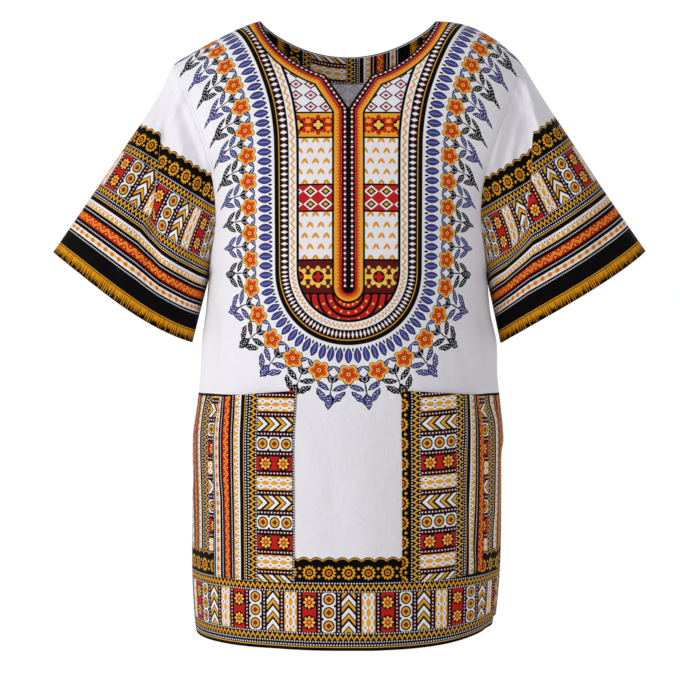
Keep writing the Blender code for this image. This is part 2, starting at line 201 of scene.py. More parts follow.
class SmoothTable:
    """A smooth curve through a short table's rows."""

    def __init__(self, rows: Rows) -> None:
        """Work out the curve's slopes.

        Args:
            rows: (place, value) rows in rising order of place.
        """
        self.places, self.values = np.array(rows).T
        before = np.maximum(np.arange(len(rows)) - 1, 0)
        after = np.minimum(np.arange(len(rows)) + 1, len(rows) - 1)
        rise = self.values[after] - self.values[before]
        self.slopes = rise / (self.places[after] - self.places[before])

    def __call__(self, place: Array) -> Array:
        """Return the curve's values.

        Args:
            place: Where on the curve.

        Returns:
            The value at each place.
        """
        index = np.searchsorted(self.places, place, side="right") - 1
        index = np.clip(index, 0, len(self.places) - 2)
        start, end = self.places[index], self.places[index + 1]
        span = end - start
        share = (place - start) / span
        square, cube = share**2, share**3
        return (
            (2.0 * cube - 3.0 * square + 1.0) * self.values[index]
            + (cube - 2.0 * square + share) * span * self.slopes[index]
            + (3.0 * square - 2.0 * cube) * self.values[index + 1]
            + (cube - square) * span * self.slopes[index + 1]
        )


def body_tables() -> dict[str, SmoothTable]:
    """Return the body's half widths and depths by height, from the hem up.

    Returns:
        The tables by name.
    """
    rows = (
        (-0.7575, 0.1880, 0.1840, 0.185, 0.163),
        (-0.6900, 0.1920, 0.1910, 0.183, 0.158),
        (-0.6000, 0.1925, 0.1935, 0.176, 0.148),
        (-0.5150, 0.1940, 0.1935, 0.168, 0.138),
        (-0.4775, 0.1880, 0.1900, 0.163, 0.133),
        (-0.4400, 0.1840, 0.1860, 0.157, 0.129),
        (-0.4000, 0.1820, 0.1850, 0.152, 0.126),
        (-0.3650, 0.1775, 0.1775, 0.148, 0.125),
        (-0.3150, 0.1730, 0.1730, 0.145, 0.125),
    )
    names = ("left", "right", "front", "back")
    return {
        name: SmoothTable([(row[0], row[index]) for row in rows])
        for index, name in enumerate(names, start=1)
    }


def by_side(left: Any, right: Any) -> Any:
    """Return a dataclass field with one value for each side."""
    return field(default_factory=lambda: {Side.LEFT: left, Side.RIGHT: right})


def by_face(front: Any, back: Any) -> Any:
    """Return a dataclass field with one value for each face."""
    return field(default_factory=lambda: {Face.FRONT: front, Face.BACK: back})


@dataclass
class WornForm:
    """The shirt's surfaces, as functions of running numbers over each piece.

    A panel runs by column (-1 to 1, across) and row (0 at the neck and shoulder, 1 at the
    underarm, 2 at the hem). A sleeve runs by turn (0 on top, half a turn at the underarm) and
    reach (0 at the armhole, 1 at the cuff).
    """

    hem_height: float = -0.7575
    hem_rise: float = 0.018
    hem_rise_start: float = 0.2
    underarm_height: float = -0.315
    underarm_x: float = 0.173
    tip_height: float = -0.0525
    tip_x: float = 0.217
    neck_x: float = 0.108
    ridge_powers: dict[Side, float] = by_side(1.2, 2.2)
    neck_drops: dict[Face, float] = by_face(0.082, 0.036)
    neck_powers: dict[Face, float] = by_face(0.7, 0.9)
    slit_half_width: float = 0.0278
    slit_point_height: float = -0.120
    armhole_sag: float = 0.0265
    armhole_sag_power: float = 1.3
    armhole_depths: dict[Face, float] = by_face(0.078, 0.072)
    shoulder_way: tuple[float, float] = (0.785, 0.620)
    underarm_way: tuple[float, float] = (0.184, -0.983)
    cuffs: dict[Side, Cuff] = by_side(
        Cuff(0.368, -0.2875, 0.1945, -0.4005, 0.007, 0.8),
        Cuff(0.3715, -0.2860, 0.1905, -0.4010, 0.003, -0.9),
    )
    cuff_half_depth: float = 0.058
    sleeve_fullness: float = 0.006
    armhole_calm: float = 0.07
    plan_power: float = 2.2
    seam_calm: float = 0.030
    drape_start: float = 0.03
    probe: float = 0.003
    body: dict[str, SmoothTable] = field(default_factory=body_tables)
    top_lines: dict[Side, SmoothTable] = by_side(
        SmoothTable([(0.0, 0.0), (0.18, -0.006), (0.40, -0.005), (0.68, -0.003), (1.0, 0.0)]),
        SmoothTable([(0.0, 0.0), (0.18, -0.002), (0.40, -0.002), (0.68, -0.002), (1.0, 0.0)]),
    )
    creases: tuple[Crease, ...] = tuple(
        Crease(face, *row)
        for face, rows in ((Face.FRONT, FRONT_FOLDS), (Face.BACK, BACK_FOLDS))
        for row in rows
    )
    drapes: tuple[Drape, ...] = tuple(Drape(*row) for row in LONG_FOLDS)

    def ridge_height(self, x: Array, right: Array) -> Array:
        """Return the shoulder seam's height at a distance from the middle.

        Args:
            x: Distances from the middle.
            right: Whether each point is on the right.

        Returns:
            The heights.
        """
        share = np.maximum(x - self.neck_x, 0.0) / (self.tip_x - self.neck_x)
        power = np.where(right, self.ridge_powers[Side.RIGHT], self.ridge_powers[Side.LEFT])
        return self.tip_height * share**power

    def neck_height(self, face: Face, x: Array) -> Array:
        """Return the neck edge's height, with the slit at the front.

        Args:
            face: Which face.
            x: Distances from the middle.

        Returns:
            The heights.
        """
        drop, power = self.neck_drops[face], self.neck_powers[face]
        curve = -drop * np.maximum(1.0 - (x / self.neck_x) ** 2, 0.0) ** power
        if face is Face.BACK:
            return curve
        corner = -drop * (1.0 - (self.slit_half_width / self.neck_x) ** 2) ** power
        slit = mix(self.slit_point_height, corner, x / self.slit_half_width)
        return np.where(x < self.slit_half_width, slit, curve)

    def armhole_edge(self, face: Face, row: Array) -> tuple[Array, Array]:
        """Return the armhole's distance from the middle and its depth at a yoke row.

        Args:
            face: Which face.
            row: The points' rows.

        Returns:
            The distances and the depths.
        """
        share = (1.0 - np.cos(np.pi * row)) / 2.0
        sag = self.armhole_sag * np.sin(np.pi * share**self.armhole_sag_power)
        x = mix(self.tip_x, self.underarm_x, share) - sag
        return x, self.armhole_depths[face] * np.sin(np.pi * row)

    def yoke_flat(self, face: Face, right: Array, reach: Array, row: Array) -> Array:
        """Return yoke points as (x, depth, height), with no folds.

        Args:
            face: Which face.
            right: Whether each point is on the right.
            reach: The points' shares of the way from the middle to the side.
            row: The points' rows.

        Returns:
            The points, with positive distances and depths.
        """
        top_x = reach * self.tip_x
        ridge = self.ridge_height(top_x, right)
        top = np.where(top_x < self.neck_x, self.neck_height(face, top_x), ridge)
        span = ridge - self.underarm_height
        middle_fall = np.cos(row * np.pi / 2.0)
        edge_fall = (1.0 + np.cos(row * np.pi)) / 2.0
        fall = (top - self.underarm_height) / span * mix(middle_fall, edge_fall, reach**2)
        rise = np.sqrt(np.maximum(1.0 - fall * fall, 0.0))
        edge_x, edge_depth = self.armhole_edge(face, row)
        round_spread = np.sin(reach * np.pi / 2.0) ** (2.0 / self.plan_power)
        spread = mix(reach, round_spread, row)
        bow = mix(1.0, 1.0 / self.plan_power, row)
        full_depth = self.body[face.name.lower()](np.array(self.underarm_height))
        share = np.maximum(1.0 - spread**self.plan_power, 0.0) ** bow
        depth = mix(edge_depth, full_depth * rise, share)
        return np.stack([edge_x * spread, depth, self.underarm_height + span * fall], axis=-1)

    def body_flat(self, face: Face, right: Array, reach: Array, row: Array) -> Array:
        """Return body points below the underarm as (x, depth, height), with no folds.

        Args:
            face: Which face.
            right: Whether each point is on the right.
            reach: The points' shares of the way from the middle to the side.
            row: The points' rows.

        Returns:
            The points, with positive distances and depths.
        """
        start = self.hem_rise_start
        rise = self.hem_rise * smooth_step((reach - start) / (1.0 - start))
        hem = self.hem_height + np.where(right, rise, 0.0)
        height = mix(self.underarm_height, hem, row - 1.0)
        half_width = np.where(right, self.body["right"](height), self.body["left"](height))
        full_depth = self.body[face.name.lower()](height)
        angle = reach * np.pi / 2.0
        across = half_width * np.sin(angle) ** (2.0 / self.plan_power)
        depth = full_depth * np.maximum(np.cos(angle), 0.0) ** (2.0 / self.plan_power)
        return np.stack([across, depth, height], axis=-1)

    def unfolded(self, face: Face, column: Array, row: Array) -> Array:
        """Return a panel's points before any fold.

        Args:
            face: Which face.
            column: The points' columns.
            row: The points' rows.

        Returns:
            The points.
        """
        right = column >= 0.0
        reach = np.abs(column)
        yoke = self.yoke_flat(face, right, reach, np.clip(row, 0.0, 1.0))
        body = self.body_flat(face, right, reach, np.clip(row, 1.0, 2.0))
        flat = np.where((row <= 1.0)[..., None], yoke, body)
        sign = np.where(right, 1.0, -1.0)
        return np.stack([flat[..., 0] * sign, flat[..., 1] * face.value, flat[..., 2]], axis=-1)

    def plan(self, face: Face, column: Array, row: Array) -> Array:
        """Return a panel's level sections as flat (x, y) points, from which widths are measured.

        Args:
            face: Which face.
            column: The points' columns.
            row: The points' rows.

        Returns:
            The sections' points.
        """
        points = self.unfolded(face, column, row)
        high = np.clip(row, 0.0, 1.0)
        edge_x, edge_depth = self.armhole_edge(face, high)
        full_depth = self.body[face.name.lower()](np.array(self.underarm_height))
        spread = np.minimum(np.abs(points[..., 0]) / edge_x, 1.0)
        bow = mix(1.0, 1.0 / self.plan_power, high)
        share = np.maximum(1.0 - spread**self.plan_power, 0.0) ** bow
        depth = mix(edge_depth, full_depth * np.sin(high * np.pi / 2.0), share)
        depth = np.where(row <= 1.0, depth, np.abs(points[..., 1]))
        return np.stack([points[..., 0], depth], axis=-1)

    def armhole_axis(self, sign: Array) -> Array:
        """Return the unit direction through an armhole, from the body to the sleeve.

        Args:
            sign: -1 on the left, 1 on the right.

        Returns:
            Unit directions.
        """
        sign = np.asarray(sign)
        rise = self.tip_height - self.underarm_height
        run = self.underarm_x - self.tip_x
        way = np.stack([sign * rise, np.zeros_like(sign), np.full_like(sign, run)], axis=-1)
        return way / math.hypot(rise, run)

    def armhole_outward(self, sign: Array, face_y: Array, row: Array) -> Array:
        """Return the direction in which the walls on both sides of the armhole seam face out.

        Args:
            sign: -1 on the left, 1 on the right.
            face_y: -1 on the front, 1 on the back.
            row: The yoke's row, 0 on top to 1 at the underarm.

        Returns:
            Unit directions.
        """
        turn = np.pi * row
        over, under = np.maximum(np.cos(turn), 0.0), np.maximum(-np.cos(turn), 0.0)
        x = sign * (self.shoulder_way[0] * over + self.underarm_way[0] * under)
        z = self.shoulder_way[1] * over + self.underarm_way[1] * under
        return unit(np.stack([x, face_y * np.sin(turn), z], axis=-1))

    def creased(self, points: Array, face_y: Array) -> Array:
        """Return points moved in or out of their face by the creases near them.

        Args:
            points: Points in space, the last axis x, y, z.
            face_y: The direction along Y of the face each point is on.

        Returns:
            The moved points.
        """
        x, y, z = points[..., 0], points[..., 1], points[..., 2]
        offset = np.zeros_like(x)
        for crease in self.creases:
            run_x, run_z = crease.x1 - crease.x0, crease.z1 - crease.z0
            along = ((x - crease.x0) * run_x + (z - crease.z0) * run_z) / (run_x**2 + run_z**2)
            along = np.clip(along, 0.0, 1.0)
            gap = np.hypot(x - crease.x0 - along * run_x, z - crease.z0 - along * run_z)
            on_face = face_y == crease.face.value
            offset += crease.depth * np.exp(-((gap / crease.width) ** 2)) * on_face
        calm = smooth_step(np.abs(y) / self.seam_calm)
        return np.stack([x, y - face_y * offset * calm, z], axis=-1)

    def draped(self, points: Array) -> Array:
        """Return body points moved towards or from the middle by the long folds.

        Args:
            points: Points in space.

        Returns:
            The moved points.
        """
        x, y, z = points[..., 0], points[..., 1], points[..., 2]
        angle = np.degrees(np.arctan2(x, -y))
        radius = np.hypot(x, y)
        offset = np.zeros_like(x)
        for fold in self.drapes:
            share = (fold.top - z) / (fold.top - fold.bottom)
            turn = (angle - mix(fold.top_angle, fold.bottom_angle, share) + 180.0) % 360.0 - 180.0
            nearness = np.radians(turn) * radius / fold.width
            begun = smooth_step((fold.top - z) / self.drape_start)
            ended = smooth_step((fold.bottom - z) / self.drape_start)
            offset += fold.depth * np.exp(-(nearness**2)) * begun * (1.0 - ended)
        scale = (radius - offset) / radius
        return np.stack([x * scale, y * scale, z], axis=-1)

    def panel(self, face: Face, column: Array, row: Array) -> Array:
        """Return points on a panel's outer surface, folds included."""
        points = self.unfolded(face, column, row)
        return self.draped(self.creased(points, np.full_like(column, float(face.value))))

    def panel_normal(self, face: Face, column: Array, row: Array) -> Array:
        """Return a panel's outward normals, level at the side seams.

        Args:
            face: Which face.
            column: The points' columns.
            row: The points' rows.

        Returns:
            Unit directions.
        """
        west = self.panel(face, np.maximum(column - self.probe, -1.0), row)
        east = self.panel(face, np.minimum(column + self.probe, 1.0), row)
        above = self.panel(face, column, np.maximum(row - self.probe, 0.0))
        below = self.panel(face, column, np.minimum(row + self.probe, 2.0))
        return unit(np.cross(east - west, below - above) * face.value)

    def cuff_edge(self, side: Side, turn: Array) -> Array:
        """Return points on a cuff's edge, which hangs lowest midway round front and back.

        Args:
            side: Which sleeve.
            turn: The points' turns round the sleeve.

        Returns:
            The points.
        """
        cuff = self.cuffs[side]
        across = np.array([cuff.top_x - cuff.bottom_x, cuff.top_height - cuff.bottom_height]) / 2.0
        middle = np.array([cuff.top_x, cuff.top_height]) - across
        down = np.array([across[1], -across[0]]) / np.hypot(*across)
        cos, sin = np.cos(2.0 * np.pi * turn), np.sin(2.0 * np.pi * turn)
        droop = cuff.droop * sin**2 * (1.0 - cuff.skew * cos)
        x = middle[0] + across[0] * cos + down[0] * droop
        z = middle[1] + across[1] * cos + down[1] * droop
        return np.stack([side.value * x, -self.cuff_half_depth * sin, z], axis=-1)

    def sleeve(self, side: Side, turn: Array, reach: Array, folded: bool = True) -> Array:
        """Return points on a sleeve's outer surface.

        Args:
            side: Which sleeve.
            turn: -0.5 to 0.5 round the sleeve, positive over the front.
            reach: 0 at the armhole to 1 at the cuff.
            folded: Whether the folds are in.

        Returns:
            The points.
        """
        row, column = 2.0 * np.abs(turn), np.full_like(turn, float(side.value))
        front, back = (self.panel(face, column, row) for face in Face)
        start = np.where((turn >= 0.0)[..., None], front, back)
        share = reach[..., None]
        points = mix(start, self.cuff_edge(side, turn), share)
        cuff = self.cuffs[side]
        run, climb = side.value * (cuff.top_x - cuff.bottom_x), cuff.top_height - cuff.bottom_height
        upward = unit(np.array([run, 0.0, climb]))
        cos, sin = np.cos(2.0 * np.pi * turn), np.sin(2.0 * np.pi * turn)
        rise = self.top_lines[side](reach) * np.maximum(cos, 0.0)
        points = points + upward * rise[..., None]
        points[..., 1] -= self.sleeve_fullness * np.sin(np.pi * reach) * sin
        if not folded:
            return points
        face_y = np.where(turn >= 0.0, float(Face.FRONT.value), float(Face.BACK.value))
        leaving = smooth_step(share / self.armhole_calm)
        return mix(points, self.creased(points, face_y), leaving)

    def sleeve_normal(self, side: Side, turn: Array, reach: Array) -> Array:
        """Return a sleeve's outward normals.

        Args:
            side: Which sleeve.
            turn: The points' turns round the sleeve.
            reach: 0 at the armhole to 1 at the cuff.

        Returns:
            Unit directions.
        """
        west = self.sleeve(side, wrapped(turn - self.probe), reach)
        east = self.sleeve(side, wrapped(turn + self.probe), reach)
        above = self.sleeve(side, turn, np.maximum(reach - self.probe, 0.0))
        below = self.sleeve(side, turn, np.minimum(reach + self.probe, 1.0))
        return unit(np.cross(east - west, below - above) * side.value)

    def row_at(self, height: Array) -> Array:
        """Return the row that lies at a height below the underarm."""
        return 1.0 + (self.underarm_height - height) / (self.underarm_height - self.hem_height)


def placed(name: str, data: Any) -> Object:
    """Return a new object in the scene.

    Args:
        name: The object's name.
        data: What it holds.

    Returns:
        The object.
    """
    made = bpy.data.objects.new(name, data)
    bpy.context.scene.collection.objects.link(made)
    return made


def unit(vectors: Array) -> Array:
    """Return vectors scaled to length one."""
    return vectors / np.maximum(np.linalg.norm(vectors, axis=-1, keepdims=True), 1e-12)


def wrapped(turn: Array) -> Array:
    """Return turns brought back into -0.5 to 0.5."""
    return (turn + 0.5) % 1.0 - 0.5


def arc_lengths(points: Array, axis: int) -> Array:
    """Return the running length along an axis of a grid of points, from its first one.

    Args:
        points: A grid of points, with their coordinates on the last axis.
        axis: The grid's axis to run along.

    Returns:
        The grid's running lengths.
    """
    steps = np.linalg.norm(np.diff(points, axis=axis), axis=-1)
    start_shape = list(steps.shape)
    start_shape[axis] = 1
    return np.concatenate([np.zeros(start_shape), np.cumsum(steps, axis=axis)], axis=axis)


def path_frame(points: Array, path: Array) -> Array:
    """Return where flat points lie relative to a path: its length to them, and their distance.

    Args:
        points: Flat points, x and y on the last axis.
        path: The path's own points, in order.

    Returns:
        For each point, the length along the path to the nearest place on it, and the signed
        distance to there, which is positive on the path's right-hand side.
    """
    flat = points.reshape(-1, 2)
    starts, runs = path[:-1], np.diff(path, axis=0)
    lengths = np.linalg.norm(runs, axis=1)
    before = np.concatenate([[0.0], np.cumsum(lengths)[:-1]])
    best = np.full(len(flat), np.inf)
    along, across = np.zeros(len(flat)), np.zeros(len(flat))
    for start, run, length, offset in zip(starts, runs, lengths, before):
        relative = flat - start
        share = np.clip(relative @ run / length**2, 0.0, 1.0)
        gap = np.linalg.norm(relative - share[:, None] * run, axis=1)
        nearer = gap < best - 1e-9
        side = np.where(relative[:, 0] * run[1] >= relative[:, 1] * run[0], 1.0, -1.0)
        best = np.where(nearer, gap, best)
        along = np.where(nearer, offset + share * length, along)
        across = np.where(nearer, side * gap, across)
    return np.stack([along, across], axis=-1).reshape(points.shape)


@dataclass
class Shell:
    """A thin closed wall of cloth over a grid of points.

    The maps have one more column than the points where the grid wraps round into a tube.
    """

    name: str
    outer: Array
    inner: Array
    maps: dict[str, Array]
    zones: Array
    wrap: bool = False

    def faces(self) -> tuple[Array, Array, Array]:
        """Return the wall's quads, their corners' places in the maps, and their materials.

        Returns:
            One row for each quad in all three.
        """
        rows, columns = self.outer.shape[:2]
        skin = np.arange(rows * columns).reshape(rows, columns)
        if self.wrap:
            skin = np.concatenate([skin, skin[:, :1]], axis=1)
        places = np.arange(rows * skin.shape[1]).reshape(skin.shape)
        under = rows * columns
        quads, corners, zones = [], [], []

        def add(shape: Sequence[Array], spots: Sequence[Array], zone: Array) -> None:
            """Add quads, from their four corners' vertices and places.

            Args:
                shape: The corners' vertices.
                spots: The corners' places in the maps.
                zone: The quads' materials.
            """
            quads.append(np.stack([part.ravel() for part in shape], axis=-1))
            corners.append(np.stack([part.ravel() for part in spots], axis=-1))
            zones.append(zone.ravel())

        def around(grid: Array) -> tuple[Array, Array, Array, Array]:
            """Return the four corners of every cell of a grid."""
            return grid[:-1, :-1], grid[:-1, 1:], grid[1:, 1:], grid[1:, :-1]

        cells, spots = around(skin), around(places)
        add(cells, spots, self.zones)
        add([part + under for part in cells[::-1]], spots[::-1], self.zones + 1)
        later, earlier = slice(1, None), slice(None, -1)
        level = (skin, places, self.zones)
        rims = [(*level, 0, later, earlier), (*level, -1, earlier, later)]
        if not self.wrap:
            upright = (skin.T, places.T, self.zones.T)
            rims += [(*upright, 0, earlier, later), (*upright, -1, later, earlier)]
        for grid, spots, zone, row, one, two in rims:
            a, b, c, d = grid[row, one], grid[row, two], spots[row, one], spots[row, two]
            add((a, b, b + under, a + under), (c, d, d, c), zone[row])
        return np.concatenate(quads), np.concatenate(corners), np.concatenate(zones)

    def build(self, materials: Sequence[Material]) -> Object:
        """Build the wall as an object.

        Args:
            materials: Right-side and wrong-side materials in turn, one pair for each zone.

        Returns:
            The wall's object, with its maps as UV maps.
        """
        quads, corners, zones = self.faces()
        points = np.concatenate([self.outer.reshape(-1, 3), self.inner.reshape(-1, 3)])
        a, b, c, d = (points[quads[:, index]] for index in range(4))
        volume = (np.cross(a, b) * c + np.cross(a, c) * d).sum()
        if volume < 0.0:
            quads, corners = quads[:, ::-1], corners[:, ::-1]
        mesh = bpy.data.meshes.new(self.name)
        mesh.from_pydata(points.tolist(), [], quads.tolist())
        for name, grid in self.maps.items():
            layer = mesh.uv_layers.new(name=name)
            places = grid.reshape(-1, 2)[corners.ravel()]
            layer.data.foreach_set("uv", places.astype(np.float32).ravel())
        for material in materials:
            mesh.materials.append(material)
        mesh.polygons.foreach_set("material_index", zones.astype(np.int32))
        mesh.shade_smooth()
        mesh.set_sharp_from_angle(angle=math.radians(RIM_ANGLE))
        mesh.update()
        return placed(self.name, mesh)


RIM_ANGLE = 60.0
CLOTH = 0.0008
TURNED_CLOTH = 0.0014
TURN_SOFTNESS = 0.002
SEAM_GAP = 0.0001
PLACKET_END = -0.020
SIDE_BAND = 160.0


def seam_dip(distance: Array, width: float = 0.003, depth: float = 0.0006) -> Array:
    """Return how far cloth sinks at distances from a seam, by its spread and greatest depth."""
    return depth * np.exp(-((distance / width) ** 2))


def turned_in(distance: Array) -> Array:
    """Return 1 where the cloth is doubled, by the distance inside its turned edge's end, else 0."""
    return smooth_step(distance / TURN_SOFTNESS + 0.5)


Value = Union["Num", float]
RAMP_END = 255
EDGE = 0.22


class Graph:
    """A node tree of shader maths while it is being written."""

    def __init__(self, tree: NodeTree) -> None:
        """Write into the given tree."""
        self.tree = tree

    @property
    def shader(self) -> Node:
        """Return a material's Principled shader."""
        return self.tree.nodes["Principled BSDF"]

    def feed(self, socket: NodeSocket, value: Any) -> None:
        """Link a socket to another one, or set its value.

        Args:
            socket: The input to fill.
            value: A number, a colour, an output socket, or a Num.
        """
        if isinstance(value, Num):
            value = value.socket
        if isinstance(value, NodeSocket):
            self.tree.links.new(value, socket)
        else:
            socket.default_value = (*value, 1.0) if socket.type == "RGBA" else value

    def node(
        self,
        kind: str,
        settings: Optional[dict[str, Any]] = None,
        inputs: Optional[dict[Union[int, str], Any]] = None,
    ) -> Node:
        """Add a node.

        Args:
            kind: Blender's name for the node's type.
            settings: The node's properties; "stops" is a ramp's list of (place, colour).
            inputs: Values or links of its sockets, by name or number.

        Returns:
            The new node.
        """
        node = self.tree.nodes.new(kind)
        for name, value in (settings or {}).items():
            if name == "stops":
                self.set_stops(node.color_ramp, value)
            else:
                setattr(node, name, value)
        for key, value in (inputs or {}).items():
            self.feed(node.inputs[key], value)
        return node

    @staticmethod
    def set_stops(ramp: ColorRamp, stops: Sequence[tuple[float, Colour]]) -> None:
        """Fill a ramp with hard-edged stops.

        Args:
            ramp: The ramp to fill.
            stops: Places in rising order, 0 to RAMP_END, with the colour that starts there.
        """
        ramp.interpolation = "CONSTANT"
        ramp.elements[0].position, ramp.elements[0].color = 0.0, (*stops[0][1], 1.0)
        ramp.elements.remove(ramp.elements[1])
        for place, colour in stops[1:]:
            ramp.elements.new((place - 0.3) / RAMP_END).color = (*colour, 1.0)

    def ramp(self, place: "Num", stops: Sequence[tuple[float, Colour]]) -> NodeSocket:
        """Return a colour by place, from 0 to RAMP_END."""
        inputs = {0: place * (1.0 / RAMP_END)}
        return self.node("ShaderNodeValToRGB", {"stops": stops}, inputs).outputs[0]

    def num(self, socket: NodeSocket) -> "Num":
        """Return a socket as a number to reckon with."""
        return Num(self, socket)

    def math(self, operation: str, *values: Value, clamp: bool = False) -> "Num":
        """Add a Math node and return its result."""
        settings = {"operation": operation, "use_clamp": clamp}
        return self.num(self.node("ShaderNodeMath", settings, dict(enumerate(values))).outputs[0])

    def scaled(self, vector: Any, scale: Value) -> NodeSocket:
        """Return a colour or a vector times a number."""
        inputs = {0: vector, "Scale": scale}
        return self.node("ShaderNodeVectorMath", {"operation": "SCALE"}, inputs).outputs[0]

    def parts(self, vector: NodeSocket) -> tuple["Num", ...]:
        """Return a vector's three numbers."""
        return tuple(map(self.num, self.node("ShaderNodeSeparateXYZ", {}, {0: vector}).outputs))

    def emboss(self, height: "Num", strength: float, distance: float) -> None:
        """Give a material's surface a relief."""
        inputs = {"Strength": strength, "Distance": distance, "Height": height}
        self.feed(self.shader.inputs["Normal"], self.node("ShaderNodeBump", {}, inputs).outputs[0])

    def flat_place(self, uv_map: str) -> tuple["Num", "Num"]:
        """Return the two coordinates of a UV map, in millimetres."""
        uv = self.node("ShaderNodeUVMap", {"uv_map": uv_map}).outputs[0]
        return self.parts(self.scaled(uv, MM))[:2]

    def noise(self, u: Value, v: Value, size: float, detail: float = 2.0) -> "Num":
        """Return soft noise from 0 to 1 over two coordinates.

        Args:
            u: Coordinate along, in millimetres.
            v: Coordinate across, in millimetres.
            size: The noise's grain in millimetres.
            detail: How many finer layers it has.

        Returns:
            The noise.
        """
        place = self.node("ShaderNodeCombineXYZ", {}, {0: u, 1: v})
        inputs = {"Vector": place.outputs[0], "Scale": 1.0 / size, "Detail": detail}
        noise = self.node("ShaderNodeTexNoise", {"noise_dimensions": "2D"}, inputs)
        return self.num(noise.outputs[0])


def new_material(name: str) -> tuple[Material, Graph]:
    """Return a new material with a Principled shader, and its graph.

    Args:
        name: The material's name.

    Returns:
        Both.
    """
    material = bpy.data.materials.new(name)
    material.use_nodes = True
    return material, Graph(material.node_tree)


def operator(kind: str) -> Callable[..., "Num"]:
    """Return a method that adds a Math node of one kind, fed by self and any other values."""
    return lambda self, *others: self.graph.math(kind, self, *others)


class Num:
    """A number that varies over a surface: a socket with Python's own operators."""

    def __init__(self, graph: Graph, socket: NodeSocket) -> None:
        """Wrap an output socket."""
        self.graph = graph
        self.socket = socket

    __add__ = __radd__ = operator("ADD")
    __sub__ = operator("SUBTRACT")
    __mul__ = __rmul__ = operator("MULTIPLY")
    __abs__ = operator("ABSOLUTE")
    fraction = operator("FRACT")
    whole = operator("FLOOR")
    sine = operator("SINE")
    cosine = operator("COSINE")
    least = operator("MINIMUM")
    most = operator("MAXIMUM")

    def __rsub__(self, other: Value) -> "Num":
        """Return other - self."""
        return self.graph.math("SUBTRACT", other, self)

    def __neg__(self) -> "Num":
        """Return -self."""
        return self * -1.0

    def cell(self, pitch: float, shift: float = 0.0) -> "Num":
        """Return the distance from the middle of the nearest cell of a repeat."""
        place = self.graph.math("MULTIPLY_ADD", self, 1.0 / pitch, 0.5 + shift)
        return self.graph.math("MULTIPLY_ADD", place.fraction(), pitch, -pitch / 2.0)

    def every_other(self, pitch: float, shift: float = 0.0) -> "Num":
        """Return 0 in one cell of a repeat and 1 in the next."""
        index = self.graph.math("MULTIPLY_ADD", self, 1.0 / pitch, 0.5 + shift).whole()
        return self.graph.math("PINGPONG", index, 1.0)

    def swing(self, pitch: float) -> "Num":
        """Return a zigzag from 0 to 1 and back in every pitch."""
        return abs(self.cell(pitch)) * (2.0 / pitch)

    def ink(self, soft: float = EDGE) -> "Num":
        """Return the print's cover, from a distance to the motif's edge that is negative inside."""
        return self.graph.math("MULTIPLY_ADD", self, -0.5 / soft, 0.5, clamp=True)


def reach(a: Num, b: Num) -> Num:
    """Return the distance of (a, b) from zero."""
    return a.graph.math("SQRT", a.graph.math("MULTIPLY_ADD", a, a, b * b))


def turn_of(a: Num, b: Num) -> Num:
    """Return the angle of (a, b) round zero, in radians, from b towards a."""
    return a.graph.math("ARCTAN2", a, b)


def turned(a: Num, b: Num, angle: float) -> tuple[Num, Num]:
    """Return (a, b) as seen by a motif that leans by an angle, in radians."""
    cos, sin, add = math.cos(angle), math.sin(angle), a.graph.math
    return add("MULTIPLY_ADD", a, cos, b * -sin), add("MULTIPLY_ADD", b, cos, a * sin)


def leaf(a: Num, b: Num, half_width: float, half_length: float) -> Num:
    """Return the distance to a pointed leaf's edge from (a, b), b along its middle line."""
    radius = (half_length**2 + half_width**2) / (2.0 * half_width)
    return reach(abs(a) + (radius - half_width), b) - radius


def diamond(a: Num, b: Num, half_a: float, half_b: float) -> Num:
    """Return the distance to a diamond's edge from (a, b), negative inside."""
    return (abs(a) * (1.0 / half_a) + abs(b) * (1.0 / half_b) - 1.0) * (
        half_a * half_b / math.hypot(half_a, half_b)
    )


def blossom(a: Num, b: Num, radius: float, petals: int, depth: float, turn: float = 0.0) -> Num:
    """Return the distance to a flower's edge; depth is its notches' share of the radius."""
    lobe = abs((turn_of(a, b) * (petals / 2.0) + turn * petals / 2.0).cosine())
    return reach(a, b) - (lobe * (radius * depth) + radius * (1.0 - depth))


class Paint:
    """The colours of one print, laid over each other."""

    def __init__(self, graph: Graph, ground: Any) -> None:
        """Start with a ground colour or a colour socket."""
        self.graph = graph
        self.colour = ground

    def lay(self, colour: Any, cover: Value) -> None:
        """Lay a colour over what is there."""
        inputs = {0: cover, 6: self.colour, 7: colour}
        self.colour = self.graph.node("ShaderNodeMix", {"data_type": "RGBA"}, inputs).outputs[2]


class SharedPrint:
    """A print that is drawn once, as a group of nodes that several finishes use."""

    def __init__(self, name: str, places: Sequence[str], design: Callable[..., Any]) -> None:
        """Draw the print into a new group.

        Args:
            name: The group's name.
            places: The names of the places that the print is drawn by.
            design: The print's class, made from a paint and those places.
        """
        self.tree = bpy.data.node_groups.new(name, "ShaderNodeTree")
        sockets = self.tree.interface
        sockets.new_socket("Ground", in_out="INPUT", socket_type="NodeSocketColor")
        for place in places:
            sockets.new_socket(place, in_out="INPUT", socket_type="NodeSocketFloat")
        sockets.new_socket("Colour", in_out="OUTPUT", socket_type="NodeSocketColor")
        graph = Graph(self.tree)
        start = graph.node("NodeGroupInput")
        paint = Paint(graph, start.outputs["Ground"])
        design(paint, *(graph.num(start.outputs[place]) for place in places)).draw()
        graph.node("NodeGroupOutput", {}, {"Colour": paint.colour})

    def lay(self, paint: Paint, *places: Num) -> None:
        """Print over what is there.

        Args:
            paint: The colours to print on.
            places: The places that the print is drawn by.
        """
        inputs = dict(enumerate((paint.colour, *places)))
        printed = paint.graph.node("ShaderNodeGroup", {"node_tree": self.tree}, inputs)
        paint.colour = printed.outputs[0]


